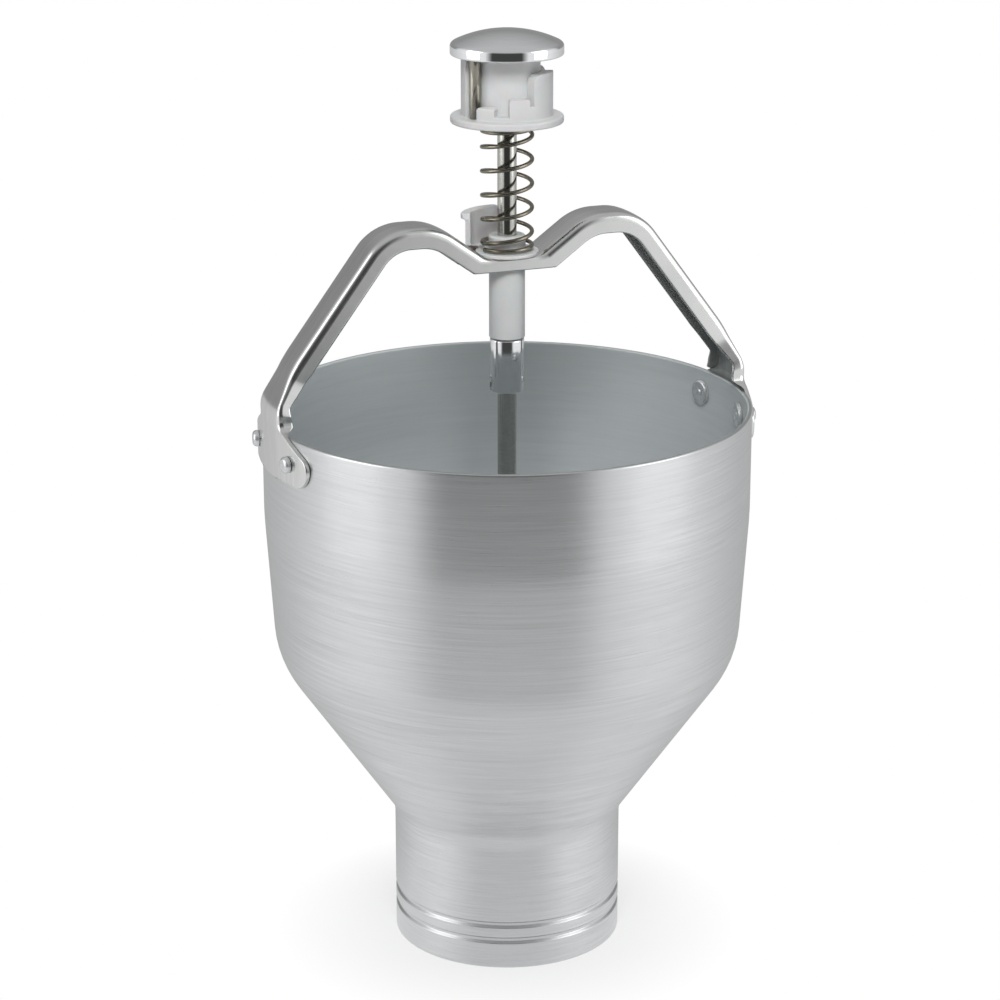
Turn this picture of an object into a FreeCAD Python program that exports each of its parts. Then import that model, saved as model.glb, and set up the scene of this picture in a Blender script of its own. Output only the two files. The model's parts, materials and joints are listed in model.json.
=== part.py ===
import FreeCAD, Part
import os
from math import asin, cos, degrees, pi, radians, sin, sqrt, tan

# Pancake batter dispenser: a spun aluminium hopper with a stamped carrying handle, and a sprung
# plunger that pushes one portion of batter out of the neck. A stepped dial under the knob sets
# the portion. The frame's origin is the centre of the neck's bottom edge, +Z is up along the
# hopper's axis and +X points along the handle. Sizes are in millimetres, angles in degrees.

Vector = FreeCAD.Vector
ORIGIN = Vector(0, 0, 0)
UP = Vector(0, 0, 1)

# Hopper, spun from one sheet
RIM_RADIUS = 101.6
HOPPER_HEIGHT = 235.0
HOPPER_WALL = 2.0
STRAIGHT_DEPTH = 45.0
SHOULDER_DEPTH = 106.3
DRAFT_ANGLE = 3.7
CONE_ANGLE = 34.8
NECK_RADIUS = 48.3
DRAFT_BLEND = 180.0
SHOULDER_BLEND = 42.0
NECK_BLEND = 14.0
EDGE_ROUNDING = 0.7
BEAD_HEIGHTS = (19.8, 12.7)
BEAD_HALF_WIDTH = 1.5
BEAD_FLAT = 0.6
BEAD_DEPTH = 0.9
BEAD_ROUNDING = 0.4

# Fits, gaps and the edges of turned pieces
RUNNING_GAP = 0.05
SEATED_GAP = 0.1
STOP_GAP = 0.3
TURNED_EDGE = 0.5

# How far cutters reach past what they cut, and the tolerance for telling edges apart
CUT_OVERLAP = 1.0
SAME_SIZE = 0.01

# Handle, a strip with turned-in edges
HANDLE_GAUGE = 1.8
STRAP_WIDTH = 19.5
FLANGE_DEPTH = 8.0
SADDLE_FLANGE_DEPTH = 5.6
SADDLE_RISE = 63.8
SADDLE_HALF_LENGTH = 12.0
SADDLE_BLEND = 7.0
SEAT_RADIUS = 9.0
CREST_RISE = 78.5
CREST_IN = 32.4
CREST_IN_BLEND = 24.0
CREST_OUT = 55.6
CREST_OUT_BLEND = 22.0
KNEE_OUT = 94.1
KNEE_RISE = 26.9
KNEE_BLEND = 60.0
ANKLE_RISE = 9.1
ANKLE_BLEND = 9.0
NECK_WIDTH = 27.0
FOOT_WIDTH = 66.4
FOOT_DROP = 18.6
FOOT_SHOULDER_DROP = 7.0
FOOT_SHOULDER_ROUNDING = 5.0
FOOT_CORNER = 8.5
FOOT_FLARE_RISE = 5.0
FOOT_FLARE = 5.0
TAPER_TOP_RISE = 22.0
TAPER_LOW_RISE = 8.0
TAPER_OVERLAP = 4.0
FLANGE_END_RISE = 1.0
FADE_INSET = 4.2
FADE_RISE = 10.4
FADE_LENGTH = 28.8
FADE_CLIMB = 34.6

# Rivets that hold the handle's feet
RIVET_INSET = 13.1
RIVET_DROP = 10.0
RIVET_RADIUS = 2.5
RIVET_HEAD_RADIUS = 5.5
RIVET_HEAD_HEIGHT = 1.8
RIVET_HEAD_ROUNDING = 1.2
RIVET_TAIL_RADIUS = 3.4
RIVET_TAIL_HEIGHT = 2.6
RIVET_TAIL_ROUNDING = 1.6

# Rods and their guide in the saddle
ROD_RADIUS = 3.95
SHANK_RADIUS = 6.0
SHANK_LENGTH = 18.0
BUSH_FLANGE_RADIUS = 13.0
BUSH_FLANGE_THICKNESS = 1.4
BUSH_BOSS_RADIUS = 7.6
BUSH_BOSS_HEIGHT = 6.4
TAB_INNER_RADIUS = 15.0
TAB_THICKNESS = 2.0
TAB_LIP = 2.0
TAB_LIP_HEIGHT = 2.4
TAB_START_ANGLE = 79.0
TAB_SPAN = 85.0
GUIDE_RADIUS = 7.4
GUIDE_LENGTH = 33.5

# Return spring
SPRING_LENGTH = 52.0
SPRING_RADIUS = 11.07
WIRE_RADIUS = 0.87
ACTIVE_TURNS = 4.5
CLOSED_TURNS = 1.0
CLOSED_PITCH = 2.6
SPRING_START_ANGLE = 186.0
WASHER_RADIUS = 12.5
WASHER_THICKNESS = 0.75

# Knob, its sleeve and the index pin
SLEEVE_RADIUS = 13.5
SLEEVE_LENGTH = 27.3
KNOB_RADIUS = 23.0
KNOB_SIDE = 4.7
KNOB_DOME = 5.5
KNOB_TOP_ROUNDING = 1.4
KNOB_LOW_ROUNDING = 0.8
KNOB_ROD_DEPTH = 6.7
INDEX_PIN_RADIUS = 2.4
INDEX_PIN_SETBACK = 16.1
INDEX_PIN_ANGLE = -163.0
INDEX_PIN_DEPTH = 3.7

# Portion dial: each step is its start angle and its height over the flange
DIAL_RADIUS = 23.0
DIAL_FLANGE = 3.0
CROWN_RADIUS = 18.6
DIAL_ZERO_ANGLE = -111.0
DIAL_STEPS = (
    (-63.0, 0.0),
    (-41.0, 5.2),
    (-16.0, 1.75),
    (3.0, 8.8),
    (30.0, 5.8),
    (36.0, 18.0),
    (100.0, 12.0),
    (122.0, 18.0),
    (150.0, 15.0),
)
DIAL_WALL_ANGLE = 175.0
DIAL_EDGE_ROUNDING = 0.8

# Strokes of the plunger and the dial
STROKE = 32.0
DIAL_DROP = 5.5

# Coupling between the two rods
COUPLING_RADIUS = 7.1
COUPLING_LENGTH = 22.7
COUPLING_BRIDGE = 1.0
COUPLING_UPPER_DEPTH = 10.2
COUPLING_CHAMFER = 0.8
CROSS_PIN_RADIUS = 1.5
CROSS_PIN_DROP = 7.2
CROSS_PIN_ANGLE = -83.0
BAYONET_RISE = 5.5
BAYONET_ANGLE = -38.0
BAYONET_TURN = 35.0
BAYONET_GAP = 0.15

# Portion cylinder in the neck and the pistons on the lower rod
CYLINDER_WALL = 8.2
MOUTH_LAND = 1.2
MOUTH_HEIGHT = 8.0
MOUTH_LOW_ROUNDING = 1.5
MOUTH_TOP_ROUNDING = 1.0
CYLINDER_LIP = 2.0
SEAL_WIRE_RADIUS = 1.1
SEAL_GROOVE_HEIGHT = 27.0
SEAL_GROOVE_HALF_WIDTH = 1.4
SEAL_GROOVE_DEPTH = 2.4
PISTON_GAP = 0.6
PISTON_THICKNESS = 6.0
PISTON_FEED_GAP = 5.0
DISC_THICKNESS = 5.0
RING_WIRE_RADIUS = 1.3
RING_GROOVE_DEPTH = 2.4
RING_GROOVE_HALF_WIDTH = 1.5
SPACER_RADIUS = 6.0
ROD_SHOULDER_RADIUS = 6.5
ROD_SHOULDER_HEIGHT = 3.0
ROD_SHOULDER_ROUNDING = 1.0
NUT_ACROSS_FLATS = 13.0
NUT_HEIGHT = 5.2
NUT_CAP = 1.3
NUT_CHAMFER = 1.2
LOCK_WASHER_RADIUS = 7.5
LOCK_WASHER_THICKNESS = 1.2
FOOT_CLEARANCE = 1.0

# Places worked out from the sizes above
RIM_Z = HOPPER_HEIGHT
HOLE_RADIUS = ROD_RADIUS + RUNNING_GAP
SADDLE_TOP = RIM_Z + SADDLE_RISE
SADDLE_UNDER = SADDLE_TOP - HANDLE_GAUGE
SPRING_SEAT_Z = SADDLE_TOP + BUSH_FLANGE_THICKNESS
WASHER_LOW = SPRING_SEAT_Z + SPRING_LENGTH
SLEEVE_LOW = WASHER_LOW + WASHER_THICKNESS + RUNNING_GAP
KNOB_LOW = SLEEVE_LOW + SLEEVE_LENGTH
DIAL_TOP = SLEEVE_LOW + DIAL_FLANGE
TAB_TOP = SLEEVE_LOW - STROKE - DIAL_DROP - STOP_GAP
SHANK_LOW = SADDLE_TOP - SHANK_LENGTH
GUIDE_LOW = SADDLE_UNDER - GUIDE_LENGTH
COUPLING_TOP = GUIDE_LOW - STOP_GAP
COUPLING_LOW = COUPLING_TOP - COUPLING_LENGTH
CROSS_PIN_Z = COUPLING_TOP - CROSS_PIN_DROP
BAYONET_Z = COUPLING_LOW + BAYONET_RISE
UPPER_ROD_LOW = COUPLING_TOP - COUPLING_UPPER_DEPTH
LOWER_ROD_TOP = UPPER_ROD_LOW - COUPLING_BRIDGE
PISTON_LOW = STROKE + FOOT_CLEARANCE
PISTON_TOP = PISTON_LOW + PISTON_THICKNESS
NUT_TOP = FOOT_CLEARANCE + NUT_HEIGHT
DISC_LOW = NUT_TOP + LOCK_WASHER_THICKNESS
DISC_TOP = DISC_LOW + DISC_THICKNESS
BORE_TOP = PISTON_LOW - PISTON_FEED_GAP
CYLINDER_TOP = BORE_TOP + MOUTH_HEIGHT + CYLINDER_LIP
FOOT_INNER_RADIUS = RIM_RADIUS + SEATED_GAP
FOOT_OUTER_RADIUS = FOOT_INNER_RADIUS + HANDLE_GAUGE
RIVET_ANGLE = degrees(asin((FOOT_WIDTH / 2 - RIVET_INSET) / RIM_RADIUS))
CYLINDER_RADIUS = NECK_RADIUS - HOPPER_WALL - SEATED_GAP
MOUTH_RADIUS = CYLINDER_RADIUS - MOUTH_LAND
BORE_RADIUS = CYLINDER_RADIUS - CYLINDER_WALL
PISTON_RADIUS = BORE_RADIUS - PISTON_GAP


def left_of(direction):
    """Unit normal on the left of a direction in the XZ plane."""
    return Vector(-direction.z, 0, direction.x)


def offset_path(path, gap):
    """Copy an open path of (x, z, radius) corners at a gap to its left, or right if negative."""
    points = [Vector(x, 0, z) for x, z, radius in path]
    moved = []
    for index, (x, z, radius) in enumerate(path):
        here = points[index]
        before = (here - points[index - 1]).normalize() if index > 0 else None
        after = (points[index + 1] - here).normalize() if index < len(path) - 1 else None
        if before is None or after is None:
            shift = left_of(after or before) * gap
        else:
            normals = left_of(before) + left_of(after)
            shift = normals * (gap / (1 + left_of(before).dot(left_of(after))))
            turn = before.x * after.z - before.z * after.x
            radius = max(radius - gap if turn > 0 else radius + gap, 0.0)
        moved.append((here.x + shift.x, here.z + shift.z, radius))
    return moved


def rounded_wire(corners):
    """Closed wire in the XZ plane through (x, z, radius) corners, each rounded by its radius."""
    points = [Vector(x, 0, z) for x, z, radius in corners]
    stretches = []
    for index, (x, z, radius) in enumerate(corners):
        here = points[index]
        if radius <= 0:
            stretches.append((here, None, here))
            continue
        to_back = (points[index - 1] - here).normalize()
        to_ahead = (points[(index + 1) % len(points)] - here).normalize()
        half = to_back.getAngle(to_ahead) / 2
        bisector = (to_back + to_ahead).normalize()
        reach = radius / tan(half)
        middle = here + bisector * (radius / sin(half) - radius)
        stretches.append((here + to_back * reach, middle, here + to_ahead * reach))
    edges = []
    for index, (start, middle, end) in enumerate(stretches):
        if middle is not None:
            edges.append(Part.Arc(start, middle, end).toShape())
        following = stretches[(index + 1) % len(stretches)][0]
        if end.distanceToPoint(following) > 1e-6:
            edges.append(Part.LineSegment(end, following).toShape())
    return Part.Wire(edges)


def spin(corners):
    """Solid of revolution about Z of a closed outline of (radius, z, rounding) corners."""
    return Part.Face(rounded_wire(corners)).revolve(ORIGIN, UP, 360)


def collar(outer, inner, low, high, rounding=0.0):
    """Ring about Z with rounded outer edges."""
    return spin([(inner, low, 0), (outer, low, rounding), (outer, high, rounding), (inner, high, 0)])


def sector(radius, low, high, start, span):
    """Slice of a disc about Z from a start angle over a span."""
    wedge = Part.makeCylinder(radius, high - low, Vector(0, 0, low), UP, span)
    wedge.rotate(ORIGIN, UP, start)
    return wedge


def cross_pin(radius, half_length, height, angle):
    """Round pin through the axis at a height, lying along an angle."""
    along = Vector(cos(radians(angle)), sin(radians(angle)), 0)
    return Part.makeCylinder(radius, 2 * half_length, Vector(0, 0, height) - along * half_length, along)


def hopper_path():
    """Outside of the hopper from the rim down to the neck's bottom edge."""
    shoulder_radius = RIM_RADIUS - (SHOULDER_DEPTH - STRAIGHT_DEPTH) * tan(radians(DRAFT_ANGLE))
    shoulder_z = RIM_Z - SHOULDER_DEPTH
    neck_z = shoulder_z - (shoulder_radius - NECK_RADIUS) / tan(radians(CONE_ANGLE))
    path = [
        (RIM_RADIUS, RIM_Z, EDGE_ROUNDING),
        (RIM_RADIUS, RIM_Z - STRAIGHT_DEPTH, DRAFT_BLEND),
        (shoulder_radius, shoulder_z, SHOULDER_BLEND),
        (NECK_RADIUS, neck_z, NECK_BLEND),
    ]
    return path + neck_path()


def neck_path():
    """Outside of the neck's beads and its bottom edge, from the top bead down."""
    path = []
    for height in BEAD_HEIGHTS:
        path.append((NECK_RADIUS, height + BEAD_HALF_WIDTH, BEAD_ROUNDING))
        path.append((NECK_RADIUS - BEAD_DEPTH, height + BEAD_FLAT, BEAD_ROUNDING))
        path.append((NECK_RADIUS - BEAD_DEPTH, height - BEAD_FLAT, BEAD_ROUNDING))
        path.append((NECK_RADIUS, height - BEAD_HALF_WIDTH, BEAD_ROUNDING))
    path.append((NECK_RADIUS, 0.0, 0.0))
    return path


def rivet_angles():
    """Angles of the four rivets about Z."""
    return [foot + side * RIVET_ANGLE for foot in (0, 180) for side in (-1, 1)]


def rivet_holes():
    """Cutter for the rivet holes in the hopper wall and the handle's feet."""
    holes = []
    for angle in rivet_angles():
        along = Vector(cos(radians(angle)), sin(radians(angle)), 0)
        start = along * (RIM_RADIUS / 2) + Vector(0, 0, RIM_Z - RIVET_DROP)
        holes.append(Part.makeCylinder(RIVET_RADIUS + RUNNING_GAP, RIM_RADIUS, start, along))
    return Part.makeCompound(holes)


def make_hopper_shell():
    """Spun hopper: drafted wall, cone and neck with two rolled beads."""
    outside = hopper_path()
    inside = offset_path(outside, -HOPPER_WALL)
    return spin(outside + inside[::-1]).cut(rivet_holes())


def make_portion_cylinder():
    """Machined insert that the neck's beads lock in place, with a funnel mouth and a bore."""
    top = [(NECK_RADIUS, CYLINDER_TOP, 0.0)]
    outside = offset_path(top + neck_path(), -(HOPPER_WALL + SEATED_GAP))
    inside = [
        (BORE_RADIUS, 0.0, TURNED_EDGE),
        (BORE_RADIUS, BORE_TOP, MOUTH_LOW_ROUNDING),
        (MOUTH_RADIUS, BORE_TOP + MOUTH_HEIGHT, MOUTH_TOP_ROUNDING),
        (MOUTH_RADIUS, CYLINDER_TOP, 0.0),
    ]
    groove = collar(
        CYLINDER_RADIUS + CUT_OVERLAP,
        CYLINDER_RADIUS - SEAL_GROOVE_DEPTH,
        SEAL_GROOVE_HEIGHT - SEAL_GROOVE_HALF_WIDTH,
        SEAL_GROOVE_HEIGHT + SEAL_GROOVE_HALF_WIDTH,
    )
    return spin(outside + inside).cut(groove)


def make_cylinder_seal():
    """Seal ring in the insert's outer groove."""
    centre = Vector(0, 0, SEAL_GROOVE_HEIGHT)
    return Part.makeTorus(CYLINDER_RADIUS - SEAL_WIRE_RADIUS, SEAL_WIRE_RADIUS, centre)


def strap_path():
    """Outside of the handle's strip from the -X foot over the saddle to the +X foot."""
    half = [
        (FOOT_OUTER_RADIUS, RIM_Z, 0.0),
        (FOOT_OUTER_RADIUS, RIM_Z + ANKLE_RISE, ANKLE_BLEND),
        (KNEE_OUT, RIM_Z + KNEE_RISE, KNEE_BLEND),
        (CREST_OUT, RIM_Z + CREST_RISE, CREST_OUT_BLEND),
        (CREST_IN, RIM_Z + CREST_RISE, CREST_IN_BLEND),
        (SADDLE_HALF_LENGTH, SADDLE_TOP, SADDLE_BLEND),
    ]
    left = [(-x, z, radius) for x, z, radius in half]
    return left + half[::-1]


def strap_band(outer_gap, depth, low_y, high_y):
    """Strip along the strap's path between two gaps from its outside, over a range of Y."""
    outer = offset_path(strap_path(), outer_gap)
    inner = offset_path(strap_path(), -depth)
    band = Part.Face(rounded_wire(outer + inner[::-1])).extrude(Vector(0, high_y - low_y, 0))
    band.translate(Vector(0, low_y, 0))
    return band


def foot_outline():
    """Prism along X of a foot's outline: narrow neck, flare and rounded lower corners."""
    half = [
        (STRAP_WIDTH / 2, RIM_Z + KNEE_RISE, 0.0),
        (STRAP_WIDTH / 2, RIM_Z + TAPER_TOP_RISE, 0.0),
        (NECK_WIDTH / 2, RIM_Z + TAPER_LOW_RISE, 0.0),
        (NECK_WIDTH / 2, RIM_Z + FOOT_FLARE_RISE, FOOT_FLARE),
        (FOOT_WIDTH / 2, RIM_Z - FOOT_SHOULDER_DROP, FOOT_SHOULDER_ROUNDING),
        (FOOT_WIDTH / 2, RIM_Z - FOOT_DROP, FOOT_CORNER),
    ]
    mirrored = [(-y, z, radius) for y, z, radius in half[::-1]]
    face = Part.Face(rounded_wire(half + mirrored))
    face.rotate(ORIGIN, UP, 90)
    length = 2 * (FOOT_OUTER_RADIUS + HANDLE_GAUGE)
    prism = face.extrude(Vector(length, 0, 0))
    prism.translate(Vector(-length / 2, 0, 0))
    return prism


def flange_taper():
    """Cutter that slims the turned-in edges towards a foot and ends them over the rim."""
    inner_x = FOOT_OUTER_RADIUS - HANDLE_GAUGE
    fade_x = inner_x - FADE_INSET
    far_x = fade_x - FADE_LENGTH
    corners = [
        (inner_x, RIM_Z + FLANGE_END_RISE, 0.0),
        (inner_x, RIM_Z - FOOT_DROP, 0.0),
        (far_x, RIM_Z - FOOT_DROP, 0.0),
        (far_x, RIM_Z + FADE_RISE + FADE_CLIMB, 0.0),
        (fade_x, RIM_Z + FADE_RISE, 0.0),
        (fade_x, RIM_Z + FLANGE_END_RISE, 0.0),
    ]
    cutter = Part.Face(rounded_wire(corners)).extrude(Vector(0, STRAP_WIDTH + 2 * CUT_OVERLAP, 0))
    cutter.translate(Vector(0, -STRAP_WIDTH / 2 - CUT_OVERLAP, 0))
    return cutter.fuse(cutter.mirror(ORIGIN, Vector(1, 0, 0)))


def saddle_trim():
    """Cutter that makes the turned-in edges shallow under the saddle."""
    low = SADDLE_TOP - SADDLE_FLANGE_DEPTH - FLANGE_DEPTH
    corner = Vector(-CREST_IN, -STRAP_WIDTH, low)
    return Part.makeBox(2 * CREST_IN, 2 * STRAP_WIDTH, FLANGE_DEPTH, corner)


def make_carry_handle():
    """Stamped strip handle with turned-in edges, a dropped saddle and two flared feet."""
    half_width = STRAP_WIDTH / 2
    web = strap_band(0.0, HANDLE_GAUGE, -half_width, half_width)
    wide_web = strap_band(0.0, HANDLE_GAUGE, -FOOT_WIDTH / 2, FOOT_WIDTH / 2)
    flanges = strap_band(0.0, FLANGE_DEPTH, -half_width, -half_width + HANDLE_GAUGE)
    flanges = flanges.fuse(strap_band(0.0, FLANGE_DEPTH, half_width - HANDLE_GAUGE, half_width))
    flanges = flanges.cut(flange_taper()).cut(saddle_trim())
    foot_shell = collar(FOOT_OUTER_RADIUS, FOOT_INNER_RADIUS, RIM_Z - FOOT_DROP, RIM_Z + ANKLE_RISE)
    bar = Part.makeBox(
        2 * FOOT_OUTER_RADIUS,
        FOOT_WIDTH,
        FOOT_DROP + 2 * ANKLE_RISE,
        Vector(-FOOT_OUTER_RADIUS, -FOOT_WIDTH / 2, RIM_Z + TAPER_LOW_RISE - CUT_OVERLAP),
    )
    outline = foot_outline()
    feet = foot_shell.common(outline)
    ankles = wide_web.common(bar).common(outline)
    web = web.common(ankle_keep(TAPER_LOW_RISE - TAPER_OVERLAP))
    flanges = flanges.common(ankle_keep(FLANGE_END_RISE))
    handle = web.fuse([flanges, feet, ankles])
    shank_hole = collar(SHANK_RADIUS + RUNNING_GAP, 0, SADDLE_UNDER - CUT_OVERLAP, SADDLE_TOP + CUT_OVERLAP)
    return handle.cut(shank_hole).cut(rivet_holes()).removeSplitter()


def ankle_keep(rise):
    """Block that keeps what stands over the rim by a rise or more."""
    reach = FOOT_OUTER_RADIUS + CUT_OVERLAP
    corner = Vector(-reach, -STRAP_WIDTH / 2, RIM_Z + rise)
    return Part.makeBox(2 * reach, STRAP_WIDTH, CREST_RISE, corner)


def make_rivet(angle):
    """Rivet through the hopper wall and a foot: pan head inside, domed tail outside."""
    head_face = RIM_RADIUS - HOPPER_WALL - 2 * SEATED_GAP
    tail_face = FOOT_OUTER_RADIUS + RUNNING_GAP
    head = spin([
        (0, head_face - RIVET_HEAD_HEIGHT, 0),
        (RIVET_HEAD_RADIUS, head_face - RIVET_HEAD_HEIGHT, RIVET_HEAD_ROUNDING),
        (RIVET_HEAD_RADIUS, head_face, 0),
        (0, head_face, 0),
    ])
    shank_low = Vector(0, 0, head_face - CUT_OVERLAP)
    shank = Part.makeCylinder(RIVET_RADIUS, tail_face - head_face + 2 * CUT_OVERLAP, shank_low)
    tail = spin([
        (0, tail_face, 0),
        (RIVET_TAIL_RADIUS, tail_face, 0),
        (RIVET_TAIL_RADIUS, tail_face + RIVET_TAIL_HEIGHT, RIVET_TAIL_ROUNDING),
        (0, tail_face + RIVET_TAIL_HEIGHT, 0),
    ])
    rivet = head.fuse([shank, tail]).removeSplitter()
    rivet.rotate(ORIGIN, Vector(0, 1, 0), 90)
    rivet.translate(Vector(0, 0, RIM_Z - RIVET_DROP))
    rivet.rotate(ORIGIN, UP, angle)
    return rivet


def make_stop_bush():
    """Bush on the saddle: flange under the spring, guide boss, shank and the lipped stop tab."""
    turned = spin([
        (HOLE_RADIUS, SHANK_LOW, 0),
        (SHANK_RADIUS, SHANK_LOW, TURNED_EDGE),
        (SHANK_RADIUS, SADDLE_TOP, 0),
        (BUSH_FLANGE_RADIUS, SADDLE_TOP, 0),
        (BUSH_FLANGE_RADIUS, SPRING_SEAT_Z, TURNED_EDGE),
        (BUSH_BOSS_RADIUS, SPRING_SEAT_Z, 0),
        (BUSH_BOSS_RADIUS, SPRING_SEAT_Z + BUSH_BOSS_HEIGHT, TURNED_EDGE),
        (HOLE_RADIUS, SPRING_SEAT_Z + BUSH_BOSS_HEIGHT, 0),
    ])
    outer = TAB_INNER_RADIUS + TAB_THICKNESS
    base = sector(outer, SADDLE_TOP, SPRING_SEAT_Z, TAB_START_ANGLE, TAB_SPAN)
    under_tab = Vector(0, 0, SADDLE_TOP - CUT_OVERLAP)
    base = base.cut(Part.makeCylinder(BUSH_BOSS_RADIUS, SADDLE_RISE, under_tab))
    wall = sector(outer, SADDLE_TOP, TAB_TOP, TAB_START_ANGLE, TAB_SPAN)
    lip = sector(outer + TAB_LIP, TAB_TOP - TAB_LIP_HEIGHT, TAB_TOP, TAB_START_ANGLE, TAB_SPAN)
    hollow = Part.makeCylinder(TAB_INNER_RADIUS, SADDLE_RISE, under_tab)
    tab = wall.fuse(lip).cut(hollow)
    strap_half = STRAP_WIDTH / 2 + SEATED_GAP
    over_strap = strap_band(SEATED_GAP, FLANGE_DEPTH, -strap_half, strap_half)
    beside = over_strap.cut(Part.makeCylinder(SEAT_RADIUS, RIM_Z, Vector(0, 0, RIM_Z)))
    return turned.fuse([base, tab]).cut(beside).removeSplitter()


def make_guide_sleeve():
    """Long sleeve that screws on the bush's shank from below and guides the upper rod."""
    socket_floor = SHANK_LOW - SEATED_GAP
    return spin([
        (HOLE_RADIUS, GUIDE_LOW, 0),
        (GUIDE_RADIUS, GUIDE_LOW, TURNED_EDGE),
        (GUIDE_RADIUS, SADDLE_UNDER, TURNED_EDGE),
        (SHANK_RADIUS + RUNNING_GAP, SADDLE_UNDER, 0),
        (SHANK_RADIUS + RUNNING_GAP, socket_floor, 0),
        (HOLE_RADIUS, socket_floor, 0),
    ])


def biarc(start, start_way, end, end_way):
    """Two arcs that join two points smoothly, each leaving along its given direction."""
    chord = end - start
    ways = start_way + end_way
    a = 2 * (start_way.dot(end_way) - 1)
    b = -2 * chord.dot(ways)
    c = chord.dot(chord)
    reach = (-b - sqrt(b * b - 4 * a * c)) / (2 * a)
    first_corner = start + start_way * reach
    second_corner = end - end_way * reach
    joint = (first_corner + second_corner) * 0.5
    return [arc_by_corner(start, first_corner, joint), arc_by_corner(joint, second_corner, end)]


def arc_by_corner(start, corner, end):
    """Arc between two points whose tangents meet at a corner."""
    middle = (start + end) * 0.5
    half_chord = (end - start).Length / 2
    reach = (corner - start).Length
    rise = sqrt(max(reach * reach - half_chord * half_chord, 0.0))
    sagitta = half_chord * (reach - half_chord) / rise
    return Part.Arc(start, middle + (corner - middle).normalize() * sagitta, end).toShape()


def spring_stations():
    """Points and directions of the spring's centre line at every quarter turn."""
    low = SPRING_SEAT_Z + WIRE_RADIUS + RUNNING_GAP
    high = WASHER_LOW - WIRE_RADIUS - STOP_GAP
    pitch = (high - low - 2 * CLOSED_TURNS * CLOSED_PITCH) / ACTIVE_TURNS
    turns = ACTIVE_TURNS + 2 * CLOSED_TURNS
    mean_radius = SPRING_RADIUS - WIRE_RADIUS

    def height(turn):
        """Height of the centre line after a number of turns."""
        active = min(max(turn - CLOSED_TURNS, 0.0), ACTIVE_TURNS)
        return low + CLOSED_PITCH * (turn - active) + pitch * active

    stations = []
    for quarter in range(round(4 * turns) + 1):
        turn = quarter / 4
        angle = radians(SPRING_START_ANGLE) + 2 * pi * turn
        before = max(turn - 0.05, 0.0)
        after = min(turn + 0.05, turns)
        climb = (height(after) - height(before)) / (after - before)
        point = Vector(mean_radius * cos(angle), mean_radius * sin(angle), height(turn))
        way = Vector(-2 * pi * mean_radius * sin(angle), 2 * pi * mean_radius * cos(angle), climb)
        stations.append((point, way.normalize()))
    return stations


def make_return_spring():
    """Right-hand compression spring with a closed turn at each end, one unbroken round wire."""
    stations = spring_stations()
    edges = []
    for (start, start_way), (end, end_way) in zip(stations, stations[1:]):
        edges.extend(biarc(start, start_way, end, end_way))
    start, start_way = stations[0]
    profile = Part.Wire(Part.Circle(start, start_way, WIRE_RADIUS).toShape())
    spring = Part.Wire(edges).makePipeShell([profile], True, False)
    print_spring_check(spring, edges)
    return spring


def print_spring_check(spring, edges):
    """Print the wire's least gap to itself, half a turn apart or more, and its volume's share."""
    samples = [point for edge in edges for point in edge.discretize(5)[:-1]]
    half_turn = 16
    gaps = [(here - there).Length
            for index, here in enumerate(samples)
            for there in samples[index + half_turn:]]
    wire_volume = pi * WIRE_RADIUS ** 2 * sum(edge.Length for edge in edges)
    print("spring least gap to itself", round(min(gaps) - 2 * WIRE_RADIUS, 2))
    print("spring volume share", round(spring.Volume / wire_volume, 4))


def make_spring_washer():
    """Washer between the spring and the knob's sleeve; it slides with the rod but needn't turn."""
    return collar(WASHER_RADIUS, HOLE_RADIUS, WASHER_LOW, WASHER_LOW + WASHER_THICKNESS)


def make_knob_sleeve():
    """Plastic sleeve between the washer and the knob, on which the dial slides."""
    return spin([
        (HOLE_RADIUS, SLEEVE_LOW, 0),
        (SLEEVE_RADIUS, SLEEVE_LOW, TURNED_EDGE),
        (SLEEVE_RADIUS, KNOB_LOW, 0),
        (HOLE_RADIUS, KNOB_LOW, 0),
    ])


def index_pin_place():
    """Point on the index pin's axis at height zero."""
    angle = radians(INDEX_PIN_ANGLE)
    return Vector(INDEX_PIN_SETBACK * cos(angle), INDEX_PIN_SETBACK * sin(angle), 0)


def make_knob():
    """Domed push knob with holes for the rod and the index pin in its flat underside."""
    apex = KNOB_LOW + KNOB_SIDE + KNOB_DOME
    sphere_radius = (KNOB_RADIUS ** 2 + KNOB_DOME ** 2) / (2 * KNOB_DOME)
    blank = Part.makeCylinder(KNOB_RADIUS, apex - KNOB_LOW, Vector(0, 0, KNOB_LOW))
    ball = Part.makeSphere(sphere_radius, Vector(0, 0, apex - sphere_radius))
    knob = blank.common(ball)
    rims = [edge for edge in knob.Edges if abs(edge.BoundBox.XLength - 2 * KNOB_RADIUS) < SAME_SIZE]
    top_rim = max(rims, key=lambda edge: edge.BoundBox.ZMax)
    knob = knob.makeFillet(KNOB_TOP_ROUNDING, [top_rim])
    low_edges = [edge for edge in knob.Edges if edge.BoundBox.ZMax < KNOB_LOW + SAME_SIZE]
    low_rim = max(low_edges, key=lambda edge: edge.BoundBox.XLength)
    knob = knob.makeFillet(KNOB_LOW_ROUNDING, [low_rim])
    under_knob = Vector(0, 0, KNOB_LOW - CUT_OVERLAP)
    rod_depth = KNOB_ROD_DEPTH + SEATED_GAP + CUT_OVERLAP
    pin_depth = INDEX_PIN_DEPTH + SEATED_GAP + CUT_OVERLAP
    rod_hole = Part.makeCylinder(HOLE_RADIUS, rod_depth, under_knob)
    pin_hole = Part.makeCylinder(INDEX_PIN_RADIUS + RUNNING_GAP, pin_depth, index_pin_place() + under_knob)
    return knob.cut(rod_hole).cut(pin_hole)


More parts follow.
